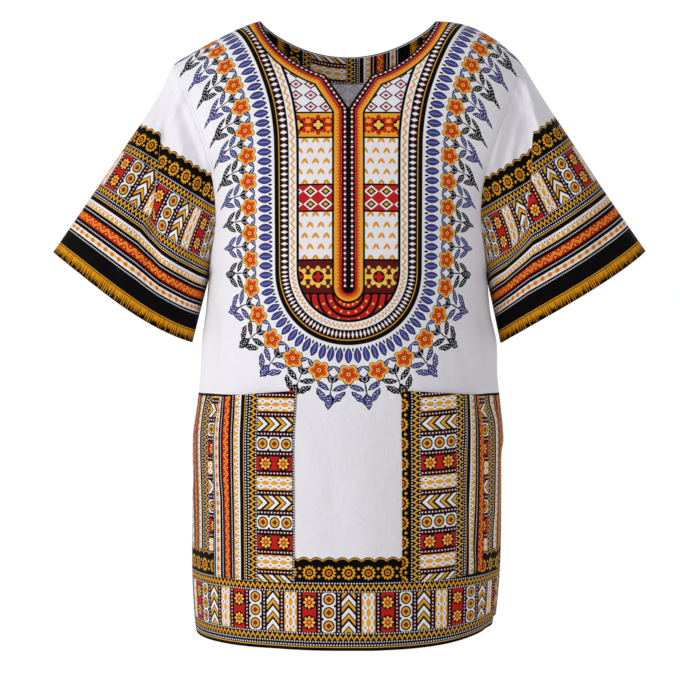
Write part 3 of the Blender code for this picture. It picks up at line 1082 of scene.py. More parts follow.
def ink_colour(red: float, green: float, blue: float) -> Colour:
    """Return a linear colour from display values of 0 to 255, by the sRGB curve."""
    return tuple(
        ((part / 255.0 + 0.055) / 1.055) ** 2.4 if part > 10 else part / 3294.6
        for part in (red, green, blue)
    )


WHITE = ink_colour(240, 238, 244)
BLACK = ink_colour(8, 6, 6)
GOLD = ink_colour(236, 168, 44)
AMBER = ink_colour(230, 152, 14)
YELLOW = ink_colour(246, 200, 84)
ORANGE = ink_colour(224, 104, 30)
RED = ink_colour(196, 32, 28)
MAROON = ink_colour(92, 22, 24)
BLUE = ink_colour(66, 66, 142)
PALE_BLUE = ink_colour(150, 152, 206)


class Motif(Enum):
    """The repeats that fill the prints' bands, by the names of the methods that draw them."""

    PLAIN = "plain"
    FRINGE = "fringe"
    DOTS = "dots"
    DASHES = "dashes"
    BEADS = "beads"
    WAVE = "wave"
    TRIANGLES = "triangles"
    ZIGZAG = "zigzag"
    BLOCKS = "blocks"
    SUNS = "suns"
    RINGS = "rings"
    ROSETTES = "rosettes"
    SPRIGS = "sprigs"
    LOZENGES = "lozenges"


class Band(NamedTuple):
    """A band of a print: its height in whole millimetres, ground, ink and repeat."""

    height: int
    ground: Colour
    ink: Colour = BLACK
    motif: Motif = Motif.PLAIN


BORDER = (
    Band(13, AMBER, BLACK, Motif.FRINGE),
    Band(1, BLACK),
    Band(1, GOLD),
    Band(18, BLACK),
    Band(2, BLACK, WHITE, Motif.DASHES),
    Band(2, BLACK),
    Band(8, WHITE, GOLD, Motif.BEADS),
    Band(3, BLACK),
    Band(2, BLACK, WHITE, Motif.DASHES),
    Band(3, BLACK),
    Band(10, RED, GOLD, Motif.WAVE),
    Band(3, BLACK),
    Band(2, BLACK, WHITE, Motif.DASHES),
    Band(3, BLACK),
    Band(8, WHITE, GOLD, Motif.TRIANGLES),
    Band(5, BLACK),
    Band(1, GOLD),
    Band(5, BLACK, WHITE, Motif.DOTS),
    Band(12, BLACK, GOLD, Motif.ZIGZAG),
    Band(46, BLACK, BLACK, Motif.BLOCKS),
    Band(12, BLACK, GOLD, Motif.ZIGZAG),
    Band(22, BLACK, GOLD, Motif.SUNS),
)
BORDER_HEIGHT = float(sum(band.height for band in BORDER))
HEM_SHIFT = 81.0
POCKET_SHIFTS = {Side.LEFT: 37.0, Side.RIGHT: 58.0}
FACING_SHIFT = 100.0
BLOCK_PERIOD = 92.0
EDGING = 4
SCALLOP = 15.0
SCALLOP_DEPTH = 3.2

BIB = (
    Band(34, RED, motif=Motif.RINGS),
    Band(40, MAROON, motif=Motif.ROSETTES),
    Band(58, WHITE, motif=Motif.SPRIGS),
    Band(32, RED, motif=Motif.LOZENGES),
    Band(58, WHITE, motif=Motif.SPRIGS),
    Band(32, GOLD, motif=Motif.ROSETTES),
    Band(62, WHITE, motif=Motif.LOZENGES),
    Band(120, WHITE, motif=Motif.SPRIGS),
)
BIB_BASE = -62
BIB_EDGE = 30.0


@dataclass
class Strip:
    """A band while it is filled: places along it and up from its middle, and its cover."""

    paint: Paint
    u: Num
    v: Num
    band: Band
    within: Num

    @property
    def half(self) -> float:
        """Return half the band's height."""
        return self.band.height / 2.0

    def lay(self, colour: Colour, distance: Num, soft: float = EDGE) -> None:
        """Print a motif inside the band."""
        self.paint.lay(colour, distance.ink(soft) * self.within)

    def fringe(self) -> None:
        """Draw uneven brush strokes rising from the cloth's edge."""
        height = self.paint.graph.noise(self.u, self.v * 0.02, 1.5, 3.0)
        self.lay(self.band.ink, self.v + self.half - (height - 0.34) * 40.0, 0.5)

    def dots(self) -> None:
        """Draw one row of small dots."""
        self.lay(self.band.ink, reach(self.u.cell(3.4), self.v) - self.half * 0.34)

    def dashes(self) -> None:
        """Draw a thin row of running stitches."""
        self.lay(self.band.ink, (abs(self.u.cell(2.6)) - 0.8).most(abs(self.v) - self.half * 0.5))

    def beads(self) -> None:
        """Draw a row of pointed beads with small crosses between them."""
        bead = leaf(self.v, self.u.cell(11.0), self.half * 0.68, 4.4)
        self.lay(self.band.ink, bead)
        self.lay(ORANGE, bead + 1.3)
        self.lay(self.band.ink, diamond(self.u.cell(11.0, 0.5), self.v, 1.1, self.half * 0.7))

    def wave(self) -> None:
        """Draw a wavy ribbon with a dot in each hollow."""
        pitch, half = 15.0, self.half
        ribbon = abs(self.v - (self.u * (2.0 * math.pi / pitch)).sine() * (half * 0.45))
        self.lay(self.band.ink, ribbon - half * 0.34)
        self.lay(ORANGE, ribbon - half * 0.12)
        above = reach(self.u.cell(pitch, 0.25), self.v - half * 0.50)
        below = reach(self.u.cell(pitch, -0.25), self.v + half * 0.50)
        self.lay(YELLOW, above.least(below) - half * 0.20)

    def triangles(self) -> None:
        """Draw a row of small mountains with a dot in each valley."""
        half = self.half
        height = self.u.swing(8.0) * (2.0 * half * 0.95) - half
        self.lay(self.band.ink, self.v - height)
        self.lay(MAROON, reach(self.u.cell(8.0), self.v - half * 0.35) - half * 0.24)

    def zigzag(self) -> None:
        """Draw a bold zigzag between two rows of white points."""
        swing = (self.u.swing(6.4) - 0.5) * (self.half * 0.86)
        self.lay(self.band.ink, abs(self.v - swing) - self.half * 0.26)
        self.lay(WHITE, diamond(self.u.cell(3.2), abs(self.v) - self.half * 0.80, 0.95, 0.95))

    def suns(self) -> None:
        """Draw a row of rayed discs."""
        pitch, half = 23.0, self.half
        a = self.u.cell(pitch)
        far = reach(a, self.v)
        self.lay(self.band.ink, blossom(a, self.v, half * 0.76, 12, 0.30))
        self.lay(BLACK, abs(far - half * 0.36) - half * 0.10)
        self.lay(RED, far - half * 0.18)
        between = reach(self.u.cell(pitch, 0.5), abs(self.v) - half * 0.42)
        self.lay(self.band.ink, between - half * 0.15)

    def blocks(self) -> None:
        """Draw the blocks: daisies, discs, mountains and reeds, with beaded posts between."""
        post = self.u.cell(BLOCK_PERIOD / 4.0, 0.5)
        share = self.u.cell(BLOCK_PERIOD, 0.125) * (1.0 / BLOCK_PERIOD) + 0.5
        a = self.u.cell(BLOCK_PERIOD / 4.0)
        row = self.v.cell(self.half * 2.0 / 3.0)
        fills = (
            (RED, Strip.daisies, self.v.cell(self.half, 0.5)),
            (WHITE, Strip.discs, row),
            (BLACK, Strip.mountains, row),
            (WHITE, Strip.reeds, self.v),
        )
        for index, (ground, fill, up) in enumerate(fills):
            inside = (abs(share - (0.125 + 0.25 * index)) - 0.125).ink(0.002) * self.within
            self.paint.lay(ground, inside)
            fill(Strip(self.paint, a, up, self.band, inside))
        self.lay(self.band.ink, abs(post) - 3.6)
        self.lay(MAROON, abs(post) - 1.5)
        self.lay(WHITE, reach(post, self.v.cell(4.2)) - 0.85)

    def daisies(self) -> None:
        """Draw gold daisies on black discs."""
        far = reach(self.u, self.v)
        self.lay(BLACK, far - 8.4)
        self.lay(YELLOW, blossom(self.u, self.v, 7.2, 8, 0.42))
        self.lay(RED, blossom(self.u, self.v, 4.6, 8, 0.5, math.pi / 8.0))
        self.lay(GOLD, far - 1.5)

    def discs(self) -> None:
        """Draw black-ringed gold discs, with a dot at every corner."""
        far = reach(self.u, self.v)
        self.lay(BLACK, far - 6.7)
        self.lay(GOLD, far - 5.1)
        for ink, size in ((BLACK, 3.4), (RED, 1.8)):
            self.lay(ink, diamond(self.u, self.v, size, size))
        self.lay(BLACK, reach(abs(self.u) - 7.2, abs(self.v) - 7.6) - 1.5)

    def mountains(self) -> None:
        """Draw nested white and gold mountains."""
        slope = (abs(self.u) * 1.15 + self.v).cell(15.4)
        self.lay(WHITE, abs(slope - 3.2) - 2.7)
        self.lay(GOLD, abs(slope + 3.6) - 2.2)

    def reeds(self) -> None:
        """Draw upright gold reeds."""
        self.lay(GOLD, leaf(self.u.cell(7.8), self.v.cell(11.5), 2.7, 5.6))
        self.lay(BLACK, diamond(self.u.cell(7.8, 0.5), self.v.cell(11.5, 0.5), 0.9, 1.9))

    def rings(self) -> None:
        """Draw rings of beads over the bottom of the bib."""
        pitch, low = 9.0, self.v - self.half
        far = reach(self.u, low)
        self.lay(BLACK, abs(far.cell(pitch)) - 1.5)
        round_ring = (turn_of(self.u, low) * 8.0).cell(math.pi) * far * 0.125
        self.lay(YELLOW, reach(round_ring, far.cell(pitch, 0.5)) - 1.3)

    def rosettes(self) -> None:
        """Draw a row of eight-petalled rosettes."""
        pitch = 24.0
        a = self.u.cell(pitch, 0.5)
        size = min(self.band.height * 0.42, 13.0)
        light, dark = (YELLOW, RED) if self.band.ground == MAROON else (RED, YELLOW)
        self.lay(light, blossom(a, self.v, size, 8, 0.36))
        self.lay(BLACK, reach(a, self.v) - size * 0.55)
        self.lay(dark, blossom(a, self.v, size * 0.45, 4, 0.5))
        self.lay(light, reach(self.u.cell(pitch), abs(self.v) - self.band.height * 0.28) - 1.9)

    def sprigs(self) -> None:
        """Draw small gold two-leaved sprigs in staggered lines."""
        pitch = 13.0
        a = (self.u + self.v.every_other(pitch) * (pitch / 2.0)).cell(pitch)
        across, up = turned(abs(a) - 1.6, self.v.cell(pitch), -0.55)
        blade = leaf(across, up, 1.7, 4.6)
        self.lay(GOLD, blade)
        self.lay(ORANGE, (abs(across) - 0.25).most(blade + 0.5))

    def lozenges(self) -> None:
        """Draw nested lozenges, two lines high."""
        a, up = self.u.cell(18.0, 0.5), self.v.cell(15.5, 0.5)
        inks = (WHITE, BLACK, GOLD) if self.band.ground == RED else (MAROON, WHITE, RED)
        for ink, half_a, half_b in zip(inks, (8.6, 5.8, 3.0), (7.2, 4.8, 2.5)):
            self.lay(ink, diamond(a, up, half_a, half_b))


def lay_bands(paint: Paint, bands: Sequence[Band], u: Num, v: Num, inside: Num) -> None:
    """Lay bands from the lowest up, each with its repeat.

    Args:
        paint: The print to lay them on.
        bands: The bands, upwards.
        u: Places along them.
        v: Places up from the lowest one's lower edge.
        inside: The cover of the shape that they fill.
    """
    starts = [0, *accumulate(band.height for band in bands)]
    stops = [(start, band.ground) for start, band in zip(starts, bands) if start <= RAMP_END]
    paint.lay(paint.graph.ramp(v, stops), inside)
    for start, band in zip(starts, bands):
        if band.motif is not Motif.PLAIN:
            half = band.height / 2.0
            middle = v - (start + half)
            strip = Strip(paint, u, middle, band, inside * (abs(middle) - half).ink(0.12))
            getattr(strip, band.motif.value)()


@dataclass
class BorderPrint:
    """The bands that run round the cuffs and the hem and up the pockets and sides.

    They are placed along and up from their edge, and what lies above them is left as it is.
    """

    paint: Paint
    along: Num
    up: Num

    def draw(self) -> None:
        """Draw the bands and their scalloped edging."""
        scallop = abs((self.along * (math.pi / SCALLOP)).sine())
        edge = self.up - (BORDER_HEIGHT + EDGING) + scallop * -SCALLOP_DEPTH
        lay_bands(self.paint, (*BORDER, Band(EDGING, BLACK)), self.along, self.up, edge.ink())
        self.paint.lay(GOLD, (abs(edge + 1.8) - 0.55).ink())


@dataclass
class YokePrint:
    """The bib round the neck and the garland round the bib, on the front and the back.

    They are placed by the distance from the middle, the height over the underarm, the length
    along the bib's outline and the distance out from it, and the length along the neck edge and
    the slit's line and the distance from them.
    """

    paint: Paint
    u: Num
    v: Num
    along: Num
    out: Num
    run: Num
    off: Num
    leaf_ring: float = 12.5
    leaf_pitch: float = 11.5
    blossom_ring: float = 34.0
    spray_ring: float = 48.0
    spray_pitch: float = 32.0

    def draw(self) -> None:
        """Draw the garland, the bib's rows, its edge bands and the neck's bands."""
        self.draw_sprays()
        self.draw_blossoms()
        self.draw_leaves()
        self.draw_rows()
        self.draw_bib_edge()
        self.draw_neck_edge()

    def stripe(self, place: Num, start: float, end: float, colour: Colour) -> None:
        """Lay one plain stripe."""
        self.paint.lay(colour, (abs(place - (start + end) / 2.0) - (end - start) / 2.0).ink())

    def draw_leaves(self) -> None:
        """Draw the inner ring of blue leaves, with a small dark bud between each two."""
        a, b = self.along.cell(self.leaf_pitch), self.out - self.leaf_ring
        blade = leaf(a, b, 4.7, 9.4)
        self.paint.lay(BLACK, blade.ink())
        self.paint.lay(BLUE, (blade + 0.9).ink())
        vein = (abs(a) - 0.35).most(blade + 2.2)
        self.paint.lay(PALE_BLUE, vein.ink())
        bud = leaf(self.along.cell(self.leaf_pitch, 0.5), self.out - 5.5, 1.3, 2.8)
        self.paint.lay(BLACK, bud.ink())

    def draw_blossoms(self) -> None:
        """Draw the middle ring: orange blossoms with blue and black leaves between them."""
        pitch, middle = self.spray_pitch, self.blossom_ring
        stem = self.out - middle + 3.0 - (self.along * (2.0 * math.pi / pitch)).cosine() * 4.0
        self.paint.lay(BLACK, (abs(stem) - 0.7).ink())
        side = abs(self.along.cell(pitch, 0.5))
        leaves = ((0.9, 5.4, -4.0, BLUE), (-0.5, 3.4, 6.5, BLACK), (2.2, 6.0, 3.0, BLUE))
        for lean, a0, b0, ink in leaves:
            a, b = turned(side - a0, self.out - middle - b0, lean)
            blade = leaf(a, b, 2.7, 6.8)
            self.paint.lay(BLACK, blade.ink())
            if ink is BLUE:
                self.paint.lay(BLUE, (blade + 0.7).ink())
            self.paint.lay(WHITE, (abs(a) - 0.22).most(blade + 1.2).ink())
        a, b = self.along.cell(pitch), self.out - middle - 0.5
        flower = blossom(a, b, 12.2, 5, 0.32)
        self.paint.lay(BLACK, (flower - 0.5).ink())
        self.paint.lay(YELLOW, (flower + 0.4).ink())
        self.paint.lay(ORANGE, (flower + 2.3).ink(0.9))
        veins = blossom(a, b, 8.6, 15, 0.9)
        self.paint.lay(RED, veins.ink(0.6) * (flower + 3.4).ink())
        self.paint.lay(YELLOW, (reach(a, b) - 2.3).ink())
        self.paint.lay(MAROON, (reach(a, b) - 1.1).ink())

    def draw_sprays(self) -> None:
        """Draw the outer ring of blue and black sprays, each of five veined leaves."""
        blue = self.along.every_other(self.spray_pitch, 0.5)
        mirrored = self.along.cell(self.spray_pitch, 0.5)
        side, b = abs(mirrored), self.out - self.spray_ring
        blades = [leaf(mirrored, b - 20.0, 3.6, 10.5)]
        for lean, a0, b0, length in ((-0.62, 7.6, 14.5, 9.5), (-1.05, 8.6, 3.0, 8.4)):
            a, up = turned(side - a0, b - b0, lean)
            blades.append(leaf(a, up, 3.3, length))
        stem = (side - 0.7).most(abs(b - 2.0) - 12.0)
        spray = blades[0].least(blades[1]).least(blades[2]).least(stem)
        self.paint.lay(BLACK, spray.ink())
        self.paint.lay(BLUE, (spray + 0.8).ink() * blue)
        speck = reach((side + b * 0.5).cell(2.7), (b - side * 0.5).cell(3.1)) - 0.62
        self.paint.lay(WHITE, speck.most(spray + 1.2).ink())

    def draw_rows(self) -> None:
        """Draw the bib's inner field, row over row, with a black line between rows."""
        inside = (self.out + BIB_EDGE).ink()
        lay_bands(self.paint, BIB, self.u, self.v - BIB_BASE, inside)
        for start in accumulate(band.height for band in BIB[:-1]):
            self.paint.lay(BLACK, (abs(self.v - (BIB_BASE + start)) - 1.1).ink() * inside)

    def draw_bib_edge(self) -> None:
        """Draw the bands inside the bib's outline, from the outline inwards."""
        depth = -self.out
        self.paint.lay(BLACK, (abs(depth - 9.0) - 9.0).ink())
        self.stripe(depth, 5.4, 6.4, GOLD)
        a = self.along.cell(7.0)
        self.paint.lay(WHITE, diamond(a, depth - 12.2, 2.3, 4.4).ink())
        self.paint.lay(MAROON, diamond(self.along.cell(7.0, 0.5), depth - 12.2, 1.6, 3.4).ink())
        self.stripe(depth, 18.0, 27.0, WHITE)
        swing = (self.along.swing(9.0) - 0.5) * 4.4
        within = (abs(depth - 22.5) - 4.5).ink()
        self.paint.lay(GOLD, (abs(depth - 22.5 - swing) - 1.3).ink() * within)
        self.stripe(depth, 27.0, 30.2, BLACK)

    def draw_neck_edge(self) -> None:
        """Draw the bands along the neck edge, the slit and the line below it."""
        off = self.off
        self.paint.lay(BLACK, (off - 8.0).ink())
        ended = (PLACKET_END * MM - self.v).ink()
        self.paint.lay(WHITE, (reach(self.run.cell(6.4), off - 4.2) - 1.35).ink() * ended)
        self.paint.lay(RED, (reach(self.run.cell(6.4, 0.5), off - 4.2) - 1.15).ink() * ended)
        self.stripe(off, 8.0, 11.0, RED)
        self.stripe(off, 11.0, 17.0, GOLD)
        teeth = off - 11.0 - self.run.swing(4.2) * 3.4
        self.paint.lay(ORANGE, teeth.ink() * (10.8 - off).ink())
        self.stripe(off, 17.0, 19.5, BLACK)


class BorderWay(Enum):
    """How the border's bands lie on a piece."""

    NONE = "none"
    ACROSS = "across"
    UPRIGHT = "upright"
    TURNED = "turned"


class PrintRoom:
    """The two prints, each drawn once and shared by every sheet's finish."""

    def __init__(self) -> None:
        """Draw both prints."""
        self.border = SharedPrint("border_print", ("Along", "Up"), BorderPrint)
        places = ("Across", "Height", "Along", "Out", "Run", "Off")
        self.yoke = SharedPrint("yoke_print", places, YokePrint)


@dataclass(frozen=True)
class CottonPrint:
    """Printed plain-weave cotton: one finish for one zone of one piece.

    The wrong side shows the same print, paler.
    """

    name: str
    border: BorderWay = BorderWay.NONE
    yoke: bool = False
    sides: bool = False
    wrong_side: bool = False
    tucked: bool = False
    border_shift: float = 0.0
    border_side: float = 0.0
    hidden_way: tuple[float, float] = (0.885, 0.467)
    top_height: float = 445.0
    side_seam: float = 302.0
    side_top: float = 296.0
    yarn: float = 0.9
    fading: float = 0.62

    def make(self, prints: PrintRoom) -> Material:
        """Build the finish as a material.

        Args:
            prints: The prints to use.

        Returns:
            The material.
        """
        material, graph = new_material(self.name)
        u, v = graph.flat_place("cloth")
        if self.tucked:
            beyond, hidden = graph.flat_place("fold")
            hidden = hidden * (-beyond).ink(0.5)
            u, v = u + hidden * self.hidden_way[0], v + hidden * self.hidden_way[1]
        slub = graph.noise(u * 0.2, v, 0.8) + graph.noise(u, v * 0.2, 0.9)
        fade = graph.noise(u, v, 60.0, 3.0)
        paint = Paint(graph, WHITE)
        if self.yoke:
            places = (*graph.flat_place("ring"), *graph.flat_place("neck"))
            prints.yoke.lay(paint, u, v - self.top_height, *places)
        if self.sides:
            side = Paint(graph, paint.colour)
            prints.border.lay(side, v, self.side_seam - abs(u))
            low = (v - self.side_top).ink() * (self.side_seam - SIDE_BAND - abs(u)).ink()
            paint.lay(side.colour, low)
            paint.lay(BLACK, (abs(v - self.side_top + 1.5) - 1.5).ink() * low)
        if self.border is BorderWay.ACROSS:
            prints.border.lay(paint, u, v + self.border_shift)
        if self.border is BorderWay.UPRIGHT:
            prints.border.lay(paint, v, abs(u) * -1.0 + self.border_side + self.border_shift)
        if self.border is BorderWay.TURNED:
            repeat = (u * -1.0 + self.border_shift) * (1.0 / BORDER_HEIGHT)
            prints.border.lay(paint, v, repeat.fraction() * BORDER_HEIGHT)
        if self.wrong_side:
            paint.lay(WHITE, self.fading)
        wear = slub * 0.10 + fade * 0.05 + 0.855
        graph.feed(graph.shader.inputs["Base Color"], graph.scaled(paint.colour, wear))
        graph.feed(graph.shader.inputs["Roughness"], slub * 0.05 + 0.74)
        sheen = {"Sheen Weight": 0.012, "Sheen Roughness": 0.5, "Specular IOR Level": 0.06}
        for socket, value in sheen.items():
            graph.feed(graph.shader.inputs[socket], value)
        weave = (u * (2.0 * math.pi / self.yarn)).sine() * (v * (2.0 * math.pi / self.yarn)).sine()
        crush = graph.noise(u, v, 26.0, 4.0) * 2.6 + graph.noise(u * 1.7, v * 0.6, 9.0) * 0.5
        height = weave * 0.035 + slub * 0.08 + crush
        graph.emboss(height, 0.6, 0.001)
        return material


@dataclass(frozen=True)
class ThreadFinish:
    """Sewing thread: matt, twisted, in one dye, drawn darker in the twist's grooves as painted
    shade.
    """

    name: str
    dye: Colour
    twist: float = 0.45

    def make(self) -> Material:
        """Build the finish as a material.

        Returns:
            The material.
        """
        material, graph = new_material(self.name)
        x, _, z = graph.parts(graph.node("ShaderNodeTexCoord").outputs["Object"])
        ply = ((x * MM + z * MM) * (2.0 * math.pi / self.twist)).sine()
        # The colour is up to 10 % darker where the twist's relief is low: painted shade in the
        # grooves between the plies.
        graph.feed(graph.shader.inputs["Base Color"], graph.scaled(self.dye, ply * 0.1 + 0.9))
        graph.feed(graph.shader.inputs["Roughness"], ply * 0.06 + 0.6)
        graph.emboss(ply, 0.4, 0.0003)
        return material


@dataclass
class Swatch:
    """One sheet's grid: its surface, its outward directions, and its flat-cloth places."""

    points: Array
    outward: Array
    flat: Array

    def __post_init__(self) -> None:
        """Work out how the surface runs with the flat cloth, and index the places."""
        places = self.flat[:, : self.points.shape[1]]
        by_row, by_column = np.gradient(self.points, axis=0), np.gradient(self.points, axis=1)
        flat_row, flat_column = np.gradient(places, axis=0), np.gradient(places, axis=1)
        basis = np.stack([flat_row, flat_column], axis=-1)
        self.slopes = np.stack([by_row, by_column], axis=-1) @ np.linalg.pinv(basis)
        self.places = places.reshape(-1, 2)

    def lifted(self, path: Array, lift: float) -> Array:
        """Return points over the cloth at flat places.

        Args:
            path: Flat places, in order.
            lift: How far over the surface the points lie.

        Returns:
            One point in space for each place.
        """
        found = []
        flat_points = self.points.reshape(-1, 3)
        outward = self.outward.reshape(-1, 3)
        slopes = self.slopes.reshape(-1, 3, 2)
        for place in path:
            gap = self.places - place
            nearest = int(np.argmin((gap * gap).sum(axis=1)))
            point = flat_points[nearest] - slopes[nearest] @ gap[nearest]
            found.append(point + outward[nearest] * lift)
        return np.array(found)

    def level_line(self, inset: float, height: float, step: float) -> list[Array]:
        """Return a level line of stitches from edge to edge, as one path over the cloth.

        Args:
            inset: How far from the side edges the line ends.
            height: Its height over the lower edge.
            step: The steps between its points.

        Returns:
            The path, in a list.
        """
        half = float(self.flat[-1, -1, 0]) - inset
        steps = int(2.0 * half / step)
        line = np.stack([np.linspace(-half, half, steps), np.full(steps, height)], axis=1)
        return [self.lifted(line, STITCH_LIFT)]


def stations(stops: Sequence[tuple[float, int]], start: float = 0.0) -> Array:
    """Return running numbers with even steps between stops.

    Args:
        stops: Each stop's place and how many steps lead to it.
        start: The first number.

    Returns:
        The numbers in rising order.
    """
    parts = [np.array([start])]
    for stop, count in stops:
        parts.append(np.linspace(parts[-1][-1], stop, count + 1)[1:])
    return np.concatenate(parts)


def evened(path: Array, step: float) -> Array:
    """Return a path's points at even steps along it.

    Args:
        path: The path's own points.
        step: The wanted step.

    Returns:
        The new points, from the path's first to its last.
    """
    lengths = arc_lengths(path, 0)
    count = max(int(lengths[-1] / step), 2)
    wanted = np.linspace(0.0, lengths[-1], count + 1)
    return np.stack([np.interp(wanted, lengths, part) for part in path.T], axis=1)


def offset_path(path: Array, distance: float) -> Array:
    """Return a flat path moved sideways, to its right-hand side."""
    along = unit(np.gradient(path, axis=0))
    return path + np.stack([along[:, 1], -along[:, 0]], axis=1) * distance


@dataclass
class PanelSheet:
    """The front or the back: one printed panel from shoulder to hem."""

    form: WornForm
    face: Face
    hem_turn: float = 0.015
    neck_turn: float = 0.010
    bib_half: float = 0.089
    ring_middle: float = 0.025
    hem_gather: float = 0.080
    hem_zone: float = 0.120
    side_zone: float = 0.310
    waist_places: Rows = (
        (0.130, 0.089), (0.170, 0.090), (0.210, 0.096), (0.250, 0.108),
        (0.290, 0.123), (0.330, 0.139), (0.380, 0.154), (0.450, 0.168),
    )

    def __post_init__(self) -> None:
        """Lay out the panel's grid, its surface and its flat-cloth places."""
        form = self.form
        slit, neck = form.slit_half_width / form.tip_x, form.neck_x / form.tip_x
        half = stations(((slit, 14), (neck, 42), (1.0, 60)))
        self.columns = np.concatenate([-half[:0:-1], half])
        self.rows = stations(((1.0, 88), (2.0, 104)))
        row, column = np.meshgrid(self.rows, self.columns, indexing="ij")
        self.flat = self.flat_places(column, row)
        self.top_length = float(self.flat[np.argmin(abs(self.rows - 1.0)), len(half) - 1, 1])
        self.outer, self.outward = self.surface(column, row)
        self.swatch = Swatch(self.outer, self.outward, self.flat)

    def flat_places(self, column: Array, row: Array) -> Array:
        """Return each grid point's place on the flat cloth.

        Args:
            column: The grid's columns.
            row: The grid's rows.

        Returns:
            Distances from the middle line and up from the hem, in metres.
        """
        plan = self.form.plan(self.face, column, row)
        middle = column.shape[1] // 2
        across = arc_lengths(plan, 1)
        across = across - across[:, middle : middle + 1]
        plain = self.form.unfolded(self.face, column, row)
        down = arc_lengths(plain, 0)
        up = down[-1:] - down
        lifted = plain[-1:, :, 2] - plain[-1, middle, 2]
        return np.stack([across, up + lifted * np.clip(up / self.hem_gather, 0.0, 1.0)], axis=-1)

    def surface(self, column: Array, row: Array) -> tuple[Array, Array]:
        """Return the panel's outer surface and outward directions, with its seams sunk.

        Args:
            column: The grid's columns.
            row: The grid's rows.

        Returns:
            The points and the unit directions.
        """
        form = self.form
        points = form.panel(self.face, column, row)
        outward = form.panel_normal(self.face, column, row)
        on_side = np.abs(column) >= 1.0
        at_armhole = on_side & (row <= 1.0)
        past_neck = np.abs(column) * form.tip_x >= form.neck_x
        on_shoulder = (row <= 0.0) & past_neck
        level = unit(outward * np.array([1.0, 0.0, 1.0]))
        outward = np.where((on_side | on_shoulder)[..., None], level, outward)
        sign = np.where(column >= 0.0, 1.0, -1.0)
        at_seam = form.armhole_outward(sign, self.face.value, row)
        outward = np.where(at_armhole[..., None], at_seam, outward)
        to_side = np.abs(self.flat[:, :1, 0]) - np.abs(self.flat[..., 0])
        to_top = np.where(past_neck, self.flat[:1, :, 1] - self.flat[..., 1], 1.0)
        sink = seam_dip(to_side) + seam_dip(to_top)
        points = points - outward * sink[..., None]
        axis = form.armhole_axis(sign)
        points = points - np.where(at_armhole[..., None], axis, 0.0) * SEAM_GAP
        points[..., 1] = self.face.value * np.maximum(np.abs(points[..., 1]), SEAM_GAP)
        return points, outward

    def neck_path(self) -> Array:
        """Return the neck edge's flat path on the right: shoulder, slit, and the line below it.

        Returns:
            The path's points.
        """
        last = int(np.argmin(abs(self.columns - self.form.neck_x / self.form.tip_x)))
        middle = len(self.columns) // 2
        edge = self.flat[0, middle : last + 1][::-1]
        if self.face is Face.BACK:
            return edge
        return np.concatenate([edge, [[0.0, self.top_length + PLACKET_END]]])

    def bib_path(self) -> Array:
        """Return the bib's flat outline on the right, from the bottom up.

        Returns:
            The path's points.
        """
        turn = np.linspace(-math.pi / 2.0, 0.0, 40)
        bottom = np.stack([np.cos(turn), np.sin(turn)], axis=1) * self.bib_half
        heights = np.linspace(self.waist_places[0][0], self.waist_places[-1][0], 80)
        widths = SmoothTable(self.waist_places)(heights)
        sides = np.stack([widths, heights], axis=1)
        return np.concatenate([bottom, sides]) + np.array([0.0, self.top_length])

    def maps(self) -> dict[str, Array]:
        """Return the panel's UV maps: flat cloth, round the bib, and round the neck.

        Returns:
            The maps by name.
        """
        mirrored = np.abs(self.flat)
        bib = self.bib_path()
        ring = path_frame(mirrored, bib)
        evened_out = arc_lengths(offset_path(bib, self.ring_middle), 0)
        ring[..., 0] = np.interp(ring[..., 0], arc_lengths(bib, 0), evened_out)
        neck = np.abs(path_frame(mirrored, self.neck_path()))
        return {"cloth": self.flat, "ring": ring, "neck": neck}

    def zones(self) -> Array:
        """Return each cell's material number: yoke 0, lower part 2.

        Returns:
            The numbers.
        """
        heights = (self.flat[:-1, :-1, 1] + self.flat[1:, 1:, 1]) / 2.0
        across = np.abs(self.flat[:-1, :-1, 0] + self.flat[1:, 1:, 0]) / 2.0
        inner = self.flat[-1, -1, 0] - (SIDE_BAND + 4.0) / MM
        beside = (heights < self.side_zone) & (across > inner)
        return np.where((heights < self.hem_zone) | beside, 2, 0)

    def thickness(self) -> Array:
        """Return the cloth's thickness over the grid, doubled where its edges are turned in.

        Returns:
            The thickness at each point.
        """
        to_neck = self.flat[:1, :, 1] - self.flat[..., 1]
        hem = turned_in(self.hem_turn - self.flat[..., 1])
        neck = turned_in(self.neck_turn - to_neck)
        return mix(CLOTH, TURNED_CLOTH, np.maximum(hem, neck))

    def build(self, materials: Sequence[Material]) -> None:
        """Args:
            materials: Right-side and wrong-side finishes of the yoke and the lower part.
        """
        name = self.face.name.lower()
        inner = self.outer - self.outward * self.thickness()[..., None]
        shell = Shell(name + "_cloth", self.outer, inner, self.maps(), self.zones())
        declare_sheet(shell.build(materials), name, PANEL_CUTS[self.face])

    def neck_stitches(self) -> list[Array]:
        """Return the topstitching beside the neck edge, as paths over the cloth.

        Returns:
            One path for each side.
        """
        path = self.neck_path()
        if self.face is Face.FRONT:
            path = path[:-1]
        line = evened(offset_path(path, -NECK_STITCH), 0.0025)[1:]
        mirrored = line * np.array([-1.0, 1.0])
        return [self.swatch.lifted(side, STITCH_LIFT) for side in (line, mirrored)]

    def hem_stitches(self) -> list[Array]:
        """Return the line of stitches over the turned hem."""
        return self.swatch.level_line(0.004, self.hem_turn - HEM_STITCH, 0.004)

    def armhole_stitches(self) -> list[Array]:
        """Return the topstitching beside both armhole seams.

        Returns:
            One path for each side.
        """
        lines = []
        for side in (0, -1):
            edge = self.flat[: np.argmin(abs(self.rows - 1.0)), side]
            inset = np.sign(edge[0, 0]) * ARMHOLE_STITCH
            line = edge[1:] - np.array([inset, 0.0])
            lines.append(self.swatch.lifted(evened(line, 0.003), STITCH_LIFT))
        return lines


